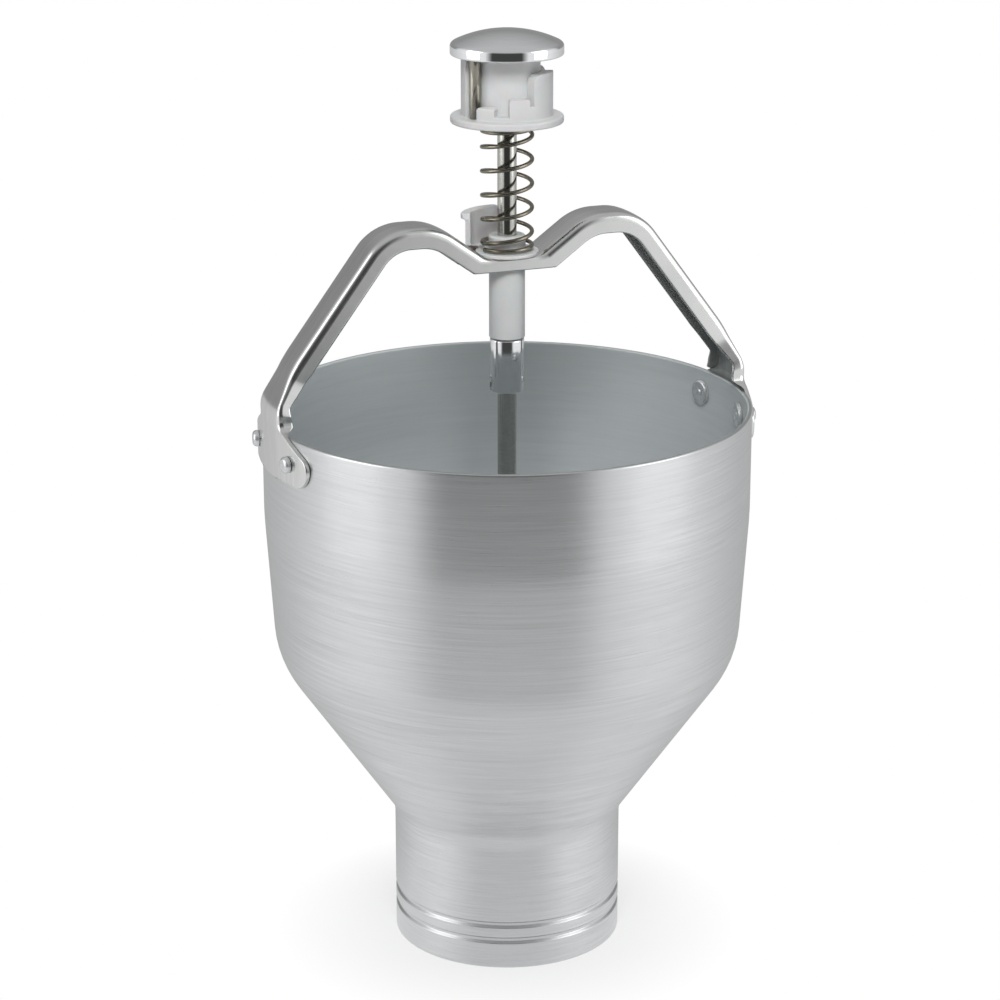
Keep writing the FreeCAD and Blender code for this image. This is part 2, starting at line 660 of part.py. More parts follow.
def make_index_pin():
    """Steel pin under the knob whose end rests in a pocket of the dial."""
    low = DIAL_TOP + RUNNING_GAP
    length = KNOB_LOW + INDEX_PIN_DEPTH - low
    return Part.makeCylinder(INDEX_PIN_RADIUS, length, index_pin_place() + Vector(0, 0, low))


def make_portion_dial():
    """Dial on the knob's sleeve: a round flange and a crown of steps of several heights."""
    dial = collar(DIAL_RADIUS, SLEEVE_RADIUS / 2, SLEEVE_LOW, DIAL_TOP, DIAL_EDGE_ROUNDING)
    wall_height = KNOB_LOW - STOP_GAP - DIAL_TOP
    steps = list(DIAL_STEPS) + [(DIAL_WALL_ANGLE, wall_height)]
    ends = [start for start, height in steps[1:]] + [360 + DIAL_STEPS[0][0]]
    low = DIAL_TOP - CUT_OVERLAP
    blocks = []
    for (start, height), end in zip(steps, ends):
        if height > 0:
            top = DIAL_TOP + height
            blocks.append(sector(CROWN_RADIUS, low, top, DIAL_ZERO_ANGLE + start, end - start))
    bore = collar(SLEEVE_RADIUS + RUNNING_GAP, 0, SLEEVE_LOW - CUT_OVERLAP, KNOB_LOW)
    return dial.fuse(blocks).cut(bore).removeSplitter()


def make_upper_rod():
    """Ground rod from the coupling through the guide and the sleeve into the knob."""
    top = KNOB_LOW + KNOB_ROD_DEPTH
    rod = spin([
        (0, UPPER_ROD_LOW, 0),
        (ROD_RADIUS, UPPER_ROD_LOW, TURNED_EDGE),
        (ROD_RADIUS, top, TURNED_EDGE),
        (0, top, 0),
    ])
    return rod.cut(cross_pin(CROSS_PIN_RADIUS + RUNNING_GAP, 2 * ROD_RADIUS, CROSS_PIN_Z, CROSS_PIN_ANGLE))


def bayonet_slot():
    """Cutter for the two-sided slot: up from the bottom edge, then round to the locked end."""
    half_width = CROSS_PIN_RADIUS + BAYONET_GAP
    reach = COUPLING_RADIUS + CUT_OVERLAP
    low = BAYONET_Z - half_width
    high = BAYONET_Z + half_width
    open_low = COUPLING_LOW - CUT_OVERLAP
    leg = Part.makeBox(2 * reach, 2 * half_width, high - low, Vector(-reach, -half_width, low))
    open_height = high - open_low
    open_leg = Part.makeBox(2 * reach, 2 * half_width, open_height, Vector(-reach, -half_width, open_low))
    leg.rotate(ORIGIN, UP, BAYONET_ANGLE)
    open_leg.rotate(ORIGIN, UP, BAYONET_ANGLE + BAYONET_TURN)
    sweeps = [sector(reach, low, high, BAYONET_ANGLE + side, BAYONET_TURN) for side in (0, 180)]
    return leg.fuse([open_leg] + sweeps)


def make_coupling_sleeve():
    """Sleeve that joins the rods: pinned to the upper one, bayonet slot for the lower one."""
    body = spin([
        (0, COUPLING_LOW, 0),
        (COUPLING_RADIUS, COUPLING_LOW, COUPLING_CHAMFER),
        (COUPLING_RADIUS, COUPLING_TOP, COUPLING_CHAMFER),
        (0, COUPLING_TOP, 0),
    ])
    upper = collar(HOLE_RADIUS, 0, UPPER_ROD_LOW, COUPLING_TOP + CUT_OVERLAP)
    lower = collar(HOLE_RADIUS, 0, COUPLING_LOW - CUT_OVERLAP, LOWER_ROD_TOP)
    pin_hole = cross_pin(CROSS_PIN_RADIUS + RUNNING_GAP, 2 * COUPLING_RADIUS, CROSS_PIN_Z, CROSS_PIN_ANGLE)
    return body.cut(upper).cut(lower).cut(pin_hole).cut(bayonet_slot())


def make_coupling_pin():
    """Pin that holds the coupling on the upper rod."""
    return cross_pin(CROSS_PIN_RADIUS, COUPLING_RADIUS - SEATED_GAP, CROSS_PIN_Z, CROSS_PIN_ANGLE)


def make_lower_rod():
    """Lower rod with a shoulder over the piston; its end is threaded for the cap nut."""
    end = FOOT_CLEARANCE + NUT_CAP + SEATED_GAP
    rod = spin([
        (0, end, 0),
        (ROD_RADIUS, end, TURNED_EDGE),
        (ROD_RADIUS, PISTON_TOP, 0),
        (ROD_SHOULDER_RADIUS, PISTON_TOP, 0),
        (ROD_SHOULDER_RADIUS, PISTON_TOP + ROD_SHOULDER_HEIGHT, ROD_SHOULDER_ROUNDING),
        (ROD_RADIUS, PISTON_TOP + ROD_SHOULDER_HEIGHT, 0),
        (ROD_RADIUS, LOWER_ROD_TOP - SEATED_GAP, TURNED_EDGE),
        (0, LOWER_ROD_TOP - SEATED_GAP, 0),
    ])
    return rod.cut(cross_pin(CROSS_PIN_RADIUS + RUNNING_GAP, 2 * ROD_RADIUS, BAYONET_Z, BAYONET_ANGLE))


def make_bayonet_pin():
    """Cross pin in the lower rod's top that locks in the coupling's slot."""
    return cross_pin(CROSS_PIN_RADIUS, COUPLING_RADIUS - 2 * SEATED_GAP, BAYONET_Z, BAYONET_ANGLE)


def grooved_disc(low, high):
    """Disc on the lower rod with a seal groove in its edge."""
    middle = (low + high) / 2
    return spin([
        (HOLE_RADIUS, low, 0),
        (PISTON_RADIUS, low, TURNED_EDGE),
        (PISTON_RADIUS, middle - RING_GROOVE_HALF_WIDTH, 0),
        (PISTON_RADIUS - RING_GROOVE_DEPTH, middle - RING_GROOVE_HALF_WIDTH, 0),
        (PISTON_RADIUS - RING_GROOVE_DEPTH, middle + RING_GROOVE_HALF_WIDTH, 0),
        (PISTON_RADIUS, middle + RING_GROOVE_HALF_WIDTH, 0),
        (PISTON_RADIUS, high, TURNED_EDGE),
        (HOLE_RADIUS, high, 0),
    ])


def edge_seal(low, high):
    """Seal ring in a disc's groove that runs against the bore."""
    ring_radius = BORE_RADIUS - RUNNING_GAP - RING_WIRE_RADIUS
    return Part.makeTorus(ring_radius, RING_WIRE_RADIUS, Vector(0, 0, (low + high) / 2))


def make_cap_nut():
    """Closed hexagon nut under the cut-off disc."""
    corner = NUT_ACROSS_FLATS / sqrt(3)
    points = [Vector(corner * cos(pi * k / 3), corner * sin(pi * k / 3), FOOT_CLEARANCE) for k in range(7)]
    hexagon = Part.Face(Part.makePolygon(points)).extrude(Vector(0, 0, NUT_HEIGHT))
    turned = spin([
        (0, FOOT_CLEARANCE, 0),
        (corner - NUT_CHAMFER, FOOT_CLEARANCE, 0),
        (corner + SEATED_GAP, FOOT_CLEARANCE + NUT_CHAMFER, 0),
        (corner + SEATED_GAP, NUT_TOP, 0),
        (0, NUT_TOP, 0),
    ])
    hole = Part.makeCylinder(HOLE_RADIUS, NUT_HEIGHT, Vector(0, 0, FOOT_CLEARANCE + NUT_CAP))
    return hexagon.common(turned).cut(hole)


def make_pieces():
    """Every piece of the dispenser by its node name."""
    pieces = {
        "hopper_shell": make_hopper_shell(),
        "portion_cylinder": make_portion_cylinder(),
        "cylinder_seal": make_cylinder_seal(),
        "carry_handle": make_carry_handle(),
        "stop_bush": make_stop_bush(),
        "guide_sleeve": make_guide_sleeve(),
        "return_spring": make_return_spring(),
        "spring_washer": make_spring_washer(),
        "knob": make_knob(),
        "knob_sleeve": make_knob_sleeve(),
        "index_pin": make_index_pin(),
        "upper_rod": make_upper_rod(),
        "coupling_sleeve": make_coupling_sleeve(),
        "coupling_pin": make_coupling_pin(),
        "portion_dial": make_portion_dial(),
        "lower_rod": make_lower_rod(),
        "bayonet_pin": make_bayonet_pin(),
        "piston": grooved_disc(PISTON_LOW, PISTON_TOP),
        "piston_seal": edge_seal(PISTON_LOW, PISTON_TOP),
        "spacer_tube": collar(SPACER_RADIUS, HOLE_RADIUS, DISC_TOP, PISTON_LOW),
        "cutoff_disc": grooved_disc(DISC_LOW, DISC_TOP),
        "cutoff_seal": edge_seal(DISC_LOW, DISC_TOP),
        "lock_washer": collar(LOCK_WASHER_RADIUS, HOLE_RADIUS, NUT_TOP, DISC_LOW),
        "cap_nut": make_cap_nut(),
    }
    for number, angle in enumerate(rivet_angles(), start=1):
        pieces[f"rivet_{number}"] = make_rivet(angle)
    return pieces


os.makedirs("parts", exist_ok=True)
for node, shape in make_pieces().items():
    if not shape.isValid() or len(shape.Solids) != 1:
        print("check the solid of", node, shape.isValid(), len(shape.Solids))
    shape.exportStep(f"parts/{node}.step")
    print(node, round(shape.Volume / 1000, 2), "cm3")
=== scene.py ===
"""Looks of the pancake batter dispenser: meshes, finishes, studio and camera around the fixed frame."""
import json
import logging
from dataclasses import dataclass
from enum import Enum
from functools import cached_property, lru_cache
from math import asin, atan2, ceil, cos, hypot, pi, radians, sin, sqrt, tan
from typing import Callable, Optional, Sequence

import bmesh
import bpy
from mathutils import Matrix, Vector


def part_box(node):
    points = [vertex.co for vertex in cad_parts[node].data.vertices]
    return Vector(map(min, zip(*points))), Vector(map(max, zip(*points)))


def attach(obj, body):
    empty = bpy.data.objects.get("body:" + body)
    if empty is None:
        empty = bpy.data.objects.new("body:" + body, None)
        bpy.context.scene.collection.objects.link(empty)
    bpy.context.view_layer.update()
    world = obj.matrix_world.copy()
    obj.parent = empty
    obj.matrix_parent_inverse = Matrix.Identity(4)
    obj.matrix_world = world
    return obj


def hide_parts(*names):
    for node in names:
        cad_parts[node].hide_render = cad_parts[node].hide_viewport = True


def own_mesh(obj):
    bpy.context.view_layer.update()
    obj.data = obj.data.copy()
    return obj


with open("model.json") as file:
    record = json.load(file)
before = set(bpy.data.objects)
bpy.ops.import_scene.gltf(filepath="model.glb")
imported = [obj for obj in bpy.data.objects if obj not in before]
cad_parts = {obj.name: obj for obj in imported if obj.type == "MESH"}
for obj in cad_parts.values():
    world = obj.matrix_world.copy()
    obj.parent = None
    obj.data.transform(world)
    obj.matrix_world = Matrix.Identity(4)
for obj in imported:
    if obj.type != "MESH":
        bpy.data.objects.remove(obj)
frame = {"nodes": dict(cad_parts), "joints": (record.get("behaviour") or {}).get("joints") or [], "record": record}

LOG = logging.getLogger("dispenser")
MM = 0.001
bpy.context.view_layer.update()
MERGE_GAP = 1e-7
CAD_MERGE_GAP = 1e-6
SHARP_ANGLE = 42.0
CAD_SHARP_ANGLE = 30.0
CORNER_STEPS = 5
SPREAD = (0.06, 0.2, 0.35, 0.5, 0.65, 0.8, 0.94)
REACH_SHARE = 0.45
LEAST_HALF_ANGLE = 0.05
LEAST_RADIUS = 0.05
LONG_CHORD = 4.0
SMALL_ROUNDING = 3.0
WHITE = (1.0, 1.0, 1.0)

Corner = tuple[float, float, float]
Point2 = tuple[float, float]
Colour = tuple[float, float, float]
Socket = bpy.types.NodeSocket
Object = bpy.types.Object


class Span(Enum):
    """Whether a loft's rings, or the loft itself, join up with their own start."""

    OPEN = "open"
    CLOSED = "closed"


class Grain(Enum):
    """Direction of the fine lines that a tool or a die leaves on a surface."""

    TURNED = "turned round the axis"
    DRAWN_UP = "drawn along the height"
    DRAWN_ACROSS = "drawn along the handle"


@lru_cache
def node_low(node: str) -> float:
    """Height of a CAD node's lowest point, in millimetres."""
    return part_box(node)[0].z / MM


@lru_cache
def node_high(node: str) -> float:
    """Height of a CAD node's highest point, in millimetres."""
    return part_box(node)[1].z / MM


@lru_cache
def node_radius(node: str) -> float:
    """Half of a CAD node's width along Y, in millimetres."""
    low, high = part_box(node)
    return (high.y - low.y) / 2 / MM


def polar(radius: float, angle: float, height: float) -> Vector:
    """Point at a radius and an angle in degrees about the axis."""
    return Vector((radius * cos(radians(angle)), radius * sin(radians(angle)), height))


def ease(share: float) -> float:
    """Clamp a share to 0 to 1 and soften both of its ends."""
    share = min(max(share, 0.0), 1.0)
    return share * share * (3 - 2 * share)


def add_object(name: str, data: bpy.types.ID) -> Object:
    """Make an object of some data and put it into the scene.

    Args:
        name: name of the object.
        data: its mesh, camera or lamp.

    Returns:
        The object.
    """
    made = bpy.data.objects.new(name, data)
    bpy.context.scene.collection.objects.link(made)
    return made


def offset_path(path: Sequence[Corner], gap: float) -> list[Corner]:
    """Copy an open path of corners at a gap to its left, or to its right if negative.

    Args:
        path: corners as (x, z, rounding radius), in millimetres.
        gap: distance between the two paths.

    Returns:
        The corners of the copy, with radii that keep the two paths parallel.
    """
    points = [Vector((x, z)) for x, z, _ in path]
    moved: list[Corner] = []
    for index, (x, z, radius) in enumerate(path):
        before = (points[index] - points[index - 1]).normalized() if index else None
        after = (points[index + 1] - points[index]).normalized() if index < len(path) - 1 else None
        if before is None or after is None:
            way = after or before
            shift = Vector((-way.y, way.x)) * gap
        else:
            left, right = Vector((-before.y, before.x)), Vector((-after.y, after.x))
            shift = (left + right) * (gap / (1 + left.dot(right)))
            turn = before.x * after.y - before.y * after.x
            radius = max(radius - gap if turn > 0 else radius + gap, LEAST_RADIUS)
        moved.append((x + shift.x, z + shift.y, radius))
    return moved


def rounded(corners: Sequence[Corner], span: Span, steps: int = 6, support: float = 0.25) -> list[Point2]:
    """Turn corners with radii into the points of an outline.

    Args:
        corners: (x, z, rounding radius) in millimetres.
        span: whether the outline joins its start.
        steps: number of chords in each rounded corner.
        support: distance of the extra points that keep flat stretches flat when shaded smooth.

    Returns:
        The outline's points in order.
    """
    count = len(corners)
    points = [Vector((x, z)) for x, z, _ in corners]
    arcs: list[list[Vector]] = []
    for index, (_, _, radius) in enumerate(corners):
        here = points[index]
        is_end = span is Span.OPEN and index in (0, count - 1)
        if radius <= 0 or is_end:
            arcs.append([here])
            continue
        to_back = (points[index - 1] - here).normalized()
        to_ahead = (points[(index + 1) % count] - here).normalized()
        half = to_back.angle(to_ahead) / 2
        centre = here + (to_back + to_ahead).normalized() * (radius / sin(half))
        start = here + to_back * (radius / tan(half))
        end = here + to_ahead * (radius / tan(half))
        sweep = pi - 2 * half
        turn = (start - centre).x * (end - centre).y - (start - centre).y * (end - centre).x
        sign = 1 if turn > 0 else -1
        first = atan2((start - centre).y, (start - centre).x)
        chords = max(steps, ceil(sweep * radius / LONG_CHORD)) if radius > SMALL_ROUNDING else steps
        angles = [first + sign * sweep * k / chords for k in range(chords + 1)]
        arcs.append([centre + Vector((cos(a), sin(a))) * radius for a in angles])
    outline: list[Point2] = []
    for index, arc in enumerate(arcs):
        outline.extend((p.x, p.y) for p in arc)
        if span is Span.OPEN and index == count - 1:
            break
        following = arcs[(index + 1) % count][0]
        run = following - arc[-1]
        if run.length > 4 * support:
            inset = run.normalized() * support
            outline.append(tuple(arc[-1] + inset))
            outline.append(tuple(following - inset))
    return outline


def even_outline(corners: Sequence[Corner]) -> list[Point2]:
    """Round a closed outline so that every outline of as many corners has as many points.

    Args:
        corners: (across, outward, rounding) in millimetres.

    Returns:
        The outline's points in order, as many in each corner and on each side.
    """
    outline: list[Point2] = []
    points = [Vector((x, z)) for x, z, _ in corners]
    for index, (_, _, radius) in enumerate(corners):
        here, back, ahead = points[index], points[index - 1], points[(index + 1) % len(corners)]
        reach_limit = REACH_SHARE * min((back - here).length, (ahead - here).length)
        to_back, to_ahead = (back - here).normalized(), (ahead - here).normalized()
        half = max(to_back.angle(to_ahead) / 2, LEAST_HALF_ANGLE)
        reach = min(radius / tan(half), reach_limit)
        start, end = here + to_back * reach, here + to_ahead * reach
        for step in range(CORNER_STEPS + 1):
            share = step / CORNER_STEPS
            near = start.lerp(here, share)
            far = here.lerp(end, share)
            outline.append(tuple(near.lerp(far, share)))
    spread: list[Point2] = []
    for index, point in enumerate(outline):
        spread.append(point)
        following = outline[(index + 1) % len(outline)]
        if (index + 1) % (CORNER_STEPS + 1) == 0:
            for share in SPREAD:
                spread.append(tuple(Vector(point).lerp(Vector(following), share)))
    return spread


def end_drop(distance: float, radius: float) -> float:
    """How far a rounded upper corner lies under the top.

    Args:
        distance: distance from the end.
        radius: the corner's rounding.

    Returns:
        The drop.
    """
    if distance >= radius:
        return 0.0
    return radius - sqrt(max(radius ** 2 - (radius - distance) ** 2, 0.0))


class Mesher:
    """Makes finished mesh objects in metres from rings of points in millimetres."""

    @staticmethod
    def loft(name: str, rings: Sequence[Sequence[Vector]], ring_span: Span, path_span: Span,
             second: range = range(0)) -> Object:
        """Skin a row of rings that all have the same number of points.

        Args:
            name: name of the new object.
            rings: the rings, in millimetres.
            ring_span: whether each ring is closed.
            path_span: whether the last ring joins the first; if not, closed rings are capped.
            second: columns of faces that take the second material.

        Returns:
            The new object, smooth shaded, with merged doubles and outward faces.
        """
        mesh = bpy.data.meshes.new(name)
        build = bmesh.new()
        rows = [[build.verts.new(point * MM) for point in ring] for ring in rings]
        size = len(rows[0])
        row_count = len(rows) if path_span is Span.CLOSED else len(rows) - 1
        column_count = size if ring_span is Span.CLOSED else size - 1
        for row in range(row_count):
            near, far = rows[row], rows[(row + 1) % len(rows)]
            for column in range(column_count):
                ahead = (column + 1) % size
                face = build.faces.new((near[column], near[ahead], far[ahead], far[column]))
                face.material_index = 1 if column in second else 0
        if path_span is Span.OPEN and ring_span is Span.CLOSED:
            build.faces.new(rows[0])
            build.faces.new(rows[-1])
        bmesh.ops.remove_doubles(build, verts=build.verts, dist=MERGE_GAP)
        bmesh.ops.dissolve_degenerate(build, edges=build.edges, dist=MERGE_GAP)
        bmesh.ops.recalc_face_normals(build, faces=build.faces)
        build.to_mesh(mesh)
        build.free()
        mesh.shade_smooth()
        mesh.set_sharp_from_angle(angle=radians(SHARP_ANGLE))
        return add_object(name, mesh)

    @staticmethod
    def lathe(name: str, outline: Sequence[Point2], segments: int = 96,
              span: Span = Span.CLOSED) -> Object:
        """Turn an outline of (radius, z) points about the axis.

        Args:
            name: name of the new object.
            outline: points in millimetres.
            segments: number of steps round the axis.
            span: closed for a ring, open for an outline that starts and ends on the axis.

        Returns:
            The new object.
        """
        rings = [[polar(r, 360 * k / segments, z) for r, z in outline] for k in range(segments)]
        return Mesher.loft(name, rings, span, Span.CLOSED)

    @staticmethod
    def join(name: str, pieces: Sequence[Object]) -> Object:
        """Put several objects' meshes into the first one and name it.

        Args:
            name: the first object's new name.
            pieces: the objects, of which only the first stays.

        Returns:
            The first object.
        """
        first = pieces[0]
        build = bmesh.new()
        for piece in pieces:
            build.from_mesh(piece.data)
        build.to_mesh(first.data)
        build.free()
        first.data.shade_smooth()
        first.data.set_sharp_from_angle(angle=radians(SHARP_ANGLE))
        for piece in pieces[1:]:
            bpy.data.objects.remove(piece)
        first.name = name
        return first

    @staticmethod
    def cad_copy(name: str, node: str) -> Object:
        """Copy a CAD node's mesh, merge its loose triangles and shade its round faces smooth.

        Args:
            name: name of the new object.
            node: the CAD node.

        Returns:
            The new object.
        """
        mesh = frame["nodes"][node].data.copy()
        build = bmesh.new()
        build.from_mesh(mesh)
        bmesh.ops.remove_doubles(build, verts=build.verts, dist=CAD_MERGE_GAP)
        bmesh.ops.dissolve_degenerate(build, edges=build.edges, dist=MERGE_GAP)
        build.to_mesh(mesh)
        build.free()
        if mesh.has_custom_normals:
            mesh.normals_split_custom_set([(0.0, 0.0, 0.0)] * len(mesh.loops))
        mesh.shade_smooth()
        mesh.set_sharp_from_angle(angle=radians(CAD_SHARP_ANGLE))
        return add_object(name, mesh)


class Sketch:
    """Adds and joins nodes in one node tree."""

    def __init__(self, tree: bpy.types.NodeTree) -> None:
        """Keep the tree."""
        self.tree = tree

    def add(self, kind: str, inputs: Optional[dict[str | int, object]] = None,
            **settings: object) -> bpy.types.Node:
        """Add a node.

        Args:
            kind: the node's type name.
            inputs: sockets to join, or values to set, by socket name or index.
            settings: properties of the node.

        Returns:
            The node.
        """
        node = self.tree.nodes.new(kind)
        for key, value in settings.items():
            setattr(node, key, value)
        for key, value in (inputs or {}).items():
            if isinstance(value, Socket):
                self.tree.links.new(value, node.inputs[key])
            else:
                node.inputs[key].default_value = value
        return node

    def math(self, operation: str, *values: object) -> Socket:
        """Add a Math node and return its output."""
        return self.add("ShaderNodeMath", dict(enumerate(values)), operation=operation).outputs[0]

    def ramp(self, value: Socket, low: float, high: float, start: float = 0.0, end: float = 1.0) -> Socket:
        """Map a value's range onto another, clamped."""
        return self.add("ShaderNodeMapRange", {0: value, 1: low, 2: high, 3: start, 4: end}).outputs[0]

    def noise(self, vector: Socket, scale: float, detail: float = 2.0, rough: float = 0.5) -> Socket:
        """Add a noise texture and return its value."""
        inputs = {"Vector": vector, "Scale": scale, "Detail": detail, "Roughness": rough}
        return self.add("ShaderNodeTexNoise", inputs).outputs[0]

    def combine(self, x: object, y: object, z: object) -> Socket:
        """Join three values into a vector."""
        return self.add("ShaderNodeCombineXYZ", {0: x, 1: y, 2: z}).outputs[0]

    def blend(self, share: Socket, first: Socket | Colour, second: Colour) -> Socket:
        """Mix two colours, of which the first may come from a socket."""
        start = first if isinstance(first, Socket) else (*first, 1)
        return self.add("ShaderNodeMix", {0: share, 6: start, 7: (*second, 1)}, data_type="RGBA").outputs[2]

    def between(self, share: Socket, first: object, second: object) -> Socket:
        """Mix two values."""
        return self.add("ShaderNodeMix", {0: share, 2: first, 3: second}).outputs[0]

    def choose(self, share: Socket, first: Socket, second: Socket) -> Socket:
        """Mix two shaders."""
        return self.add("ShaderNodeMixShader", {0: share, 1: first, 2: second}).outputs[0]

    def glow(self, strength: object, colour: Colour = WHITE, kind: str = "ShaderNodeEmission") -> Socket:
        """Plain light of one colour, as an emission or a background."""
        return self.add(kind, {"Color": (*colour, 1), "Strength": strength}).outputs[0]

    def end(self, shader: Socket, kind: str = "ShaderNodeOutputMaterial") -> None:
        """Join a shader to the tree's output."""
        self.tree.links.new(shader, self.add(kind).inputs[0])


def new_material(name: str) -> tuple[bpy.types.Material, Sketch]:
    """Make an empty material and a sketch of its nodes.

    Args:
        name: name of the material.

    Returns:
        The material and the sketch.
    """
    material = bpy.data.materials.new(name)
    material.use_nodes = True
    material.node_tree.nodes.clear()
    return material, Sketch(material.node_tree)


class Effects:
    """Shader node groups that more than one finish uses, each built once."""

    _groups: dict[str, bpy.types.NodeTree] = {}
    least_radius: float = 0.5 * MM
    streak_scale: float = 0.31
    patch_scale: float = 22.0
    patch_range: Point2 = (0.38, 0.66)
    patch_floor: float = 0.35
    hair_share: float = 0.45
    edge_scale: float = 260.0
    breakup_range: Point2 = (0.35, 0.6)
    pointed_range: Point2 = (0.52, 0.60)
    film_scale: float = 38.0
    film_range: Point2 = (0.4, 0.75)

    @classmethod
    def group(cls, name: str, inputs: dict[str, float], outputs: Sequence[str],
              fill: Callable[[Sketch, bpy.types.Node], dict[str, Socket]]) -> bpy.types.NodeTree:
        """Return a node group, and build it the first time.

        Args:
            name: name of the group.
            inputs: float inputs and their defaults.
            outputs: names of the float outputs.
            fill: function that adds the nodes and returns the socket of each output.

        Returns:
            The group.
        """
        if name not in cls._groups:
            tree = bpy.data.node_groups.new(name, "ShaderNodeTree")
            face = tree.interface
            for key, value in inputs.items():
                face.new_socket(key, in_out="INPUT", socket_type="NodeSocketFloat").default_value = value
            for key in outputs:
                face.new_socket(key, in_out="OUTPUT", socket_type="NodeSocketFloat")
            sketch = Sketch(tree)
            result = fill(sketch, sketch.add("NodeGroupInput"))
            sketch.add("NodeGroupOutput", result)
            cls._groups[name] = tree
        return cls._groups[name]

    @classmethod
    def grain(cls, way: Grain) -> bpy.types.NodeTree:
        """Fine lines along one direction.

        Args:
            way: the lines' direction.

        Returns:
            The group, with outputs Lines for bump and Tone for colour.
        """

        def fill(sketch: Sketch, start: bpy.types.Node) -> dict[str, Socket]:
            """Stretch noise along the lines' direction.

            Args:
                sketch: the group's tree.
                start: its input node.

            Returns:
                The socket of each output.
            """
            place = sketch.add("ShaderNodeTexCoord").outputs["Object"]
            x, y, z = sketch.add("ShaderNodeSeparateXYZ", {0: place}).outputs
            fine, long = start.outputs["Fine"], start.outputs["Long"]
            if way is Grain.TURNED:
                square = sketch.math("ADD", sketch.math("MULTIPLY", x, x), sketch.math("MULTIPLY", y, y))
                radius = sketch.math("SQRT", square)
                safe = sketch.math("MAXIMUM", radius, cls.least_radius)
                around_x, around_y = (sketch.math("MULTIPLY", sketch.math("DIVIDE", side, safe), long)
                                      for side in (x, y))
                across = sketch.math("MULTIPLY", sketch.math("SUBTRACT", z, radius), fine)
                vector = sketch.combine(around_x, around_y, across)
            else:
                along, other = (z, x) if way is Grain.DRAWN_UP else (x, z)
                spread = fine if way is Grain.DRAWN_UP else long
                vector = sketch.combine(*(sketch.math("MULTIPLY", side, scale)
                                          for side, scale in ((along, long), (y, fine), (other, spread))))
            lines = sketch.noise(vector, 1.0, detail=3.0, rough=0.7)
            streaks = sketch.noise(vector, cls.streak_scale, detail=4.0, rough=0.75)
            patches = sketch.noise(place, cls.patch_scale)
            gate = sketch.ramp(patches, *cls.patch_range, cls.patch_floor)
            centred = sketch.math("SUBTRACT", streaks, 0.5)
            broad = sketch.math("ADD", sketch.math("MULTIPLY", centred, gate), 0.5)
            hair = sketch.math("MULTIPLY", sketch.math("SUBTRACT", lines, 0.5), cls.hair_share)
            return {"Lines": lines, "Tone": sketch.math("ADD", broad, hair)}

        inputs = {"Fine": 1600.0, "Long": 9.0}
        return cls.group(f"grain_{way.name.lower()}", inputs, ("Lines", "Tone"), fill)

    @classmethod
    def wear(cls) -> bpy.types.NodeTree:
        """Edges rubbed bright and a faint film of handling.

        Returns:
            The group, with outputs Edge and Film.
        """

        def fill(sketch: Sketch, start: bpy.types.Node) -> dict[str, Socket]:
            """Find convex edges by their pointiness and break them up with noise.

            Args:
                sketch: the group's tree.
                start: its input node.

            Returns:
                The socket of each output.
            """
            place = sketch.add("ShaderNodeTexCoord").outputs["Object"]
            point = sketch.add("ShaderNodeNewGeometry").outputs["Pointiness"]
            breakup = sketch.ramp(sketch.noise(place, cls.edge_scale, detail=3.0), *cls.breakup_range)
            edge = sketch.math("MULTIPLY", sketch.ramp(point, *cls.pointed_range), breakup)
            smears = sketch.noise(place, cls.film_scale, detail=5.0, rough=0.65)
            film = sketch.ramp(smears, *cls.film_range)
            return {"Edge": sketch.math("MULTIPLY", edge, start.outputs["Edge Amount"]),
                    "Film": sketch.math("MULTIPLY", film, start.outputs["Film Amount"])}

        return cls.group("wear", {"Edge Amount": 1.0, "Film Amount": 1.0}, ("Edge", "Film"), fill)


@dataclass(frozen=True)
class Metal:
    """A metal finish with directional grain, edge wear and a film of handling."""

    name: str
    dark: Colour
    light: Colour
    roughness: float
    roughness_spread: float
    grain: Grain
    fine: float
    long: float
    bump: float
    anisotropy: float = 0.0
    film: float = 0.4
    wear: float = 0.5
    tone_low: float = 0.3
    tone_high: float = 0.7
    metallic: float = 1.0
    rubbed_gain: float = 1.12
    film_roughness: float = 0.08
    groove_depth: float = 0.06
    grain_turn: float = 0.25

    def material(self) -> bpy.types.Material:
        """Build the finish's material.

        Returns:
            The material.
        """
        material, sketch = new_material(self.name)
        grain = sketch.add("ShaderNodeGroup", {"Fine": self.fine, "Long": self.long},
                           node_tree=Effects.grain(self.grain)).outputs
        wear = sketch.add("ShaderNodeGroup", {"Edge Amount": self.wear, "Film Amount": self.film},
                          node_tree=Effects.wear()).outputs
        tone = sketch.ramp(grain["Tone"], self.tone_low, self.tone_high)
        rubbed = tuple(min(1.0, self.rubbed_gain * c) for c in self.light)
        colour = sketch.blend(wear["Edge"], sketch.blend(tone, self.dark, self.light), rubbed)
        centred = sketch.math("SUBTRACT", grain["Lines"], 0.5)
        spread = sketch.math("MULTIPLY", centred, self.roughness_spread)
        film = sketch.math("MULTIPLY", wear["Film"], self.film_roughness)
        rough = sketch.math("ADD", sketch.math("ADD", spread, self.roughness), film)
        bump = sketch.add("ShaderNodeBump", {
            "Strength": self.bump, "Distance": self.groove_depth * MM, "Height": grain["Lines"]})
        shader = sketch.add("ShaderNodeBsdfPrincipled", {
            "Base Color": colour, "Roughness": rough, "Metallic": self.metallic, "Normal": bump.outputs[0]})
        if self.anisotropy:
            shader.inputs["Anisotropic"].default_value = self.anisotropy
            shader.inputs["Anisotropic Rotation"].default_value = self.grain_turn
            tangent = sketch.add("ShaderNodeTangent", direction_type="RADIAL", axis="Z")
            sketch.tree.links.new(tangent.outputs[0], shader.inputs["Tangent"])
        sketch.end(shader.outputs[0])
        return material


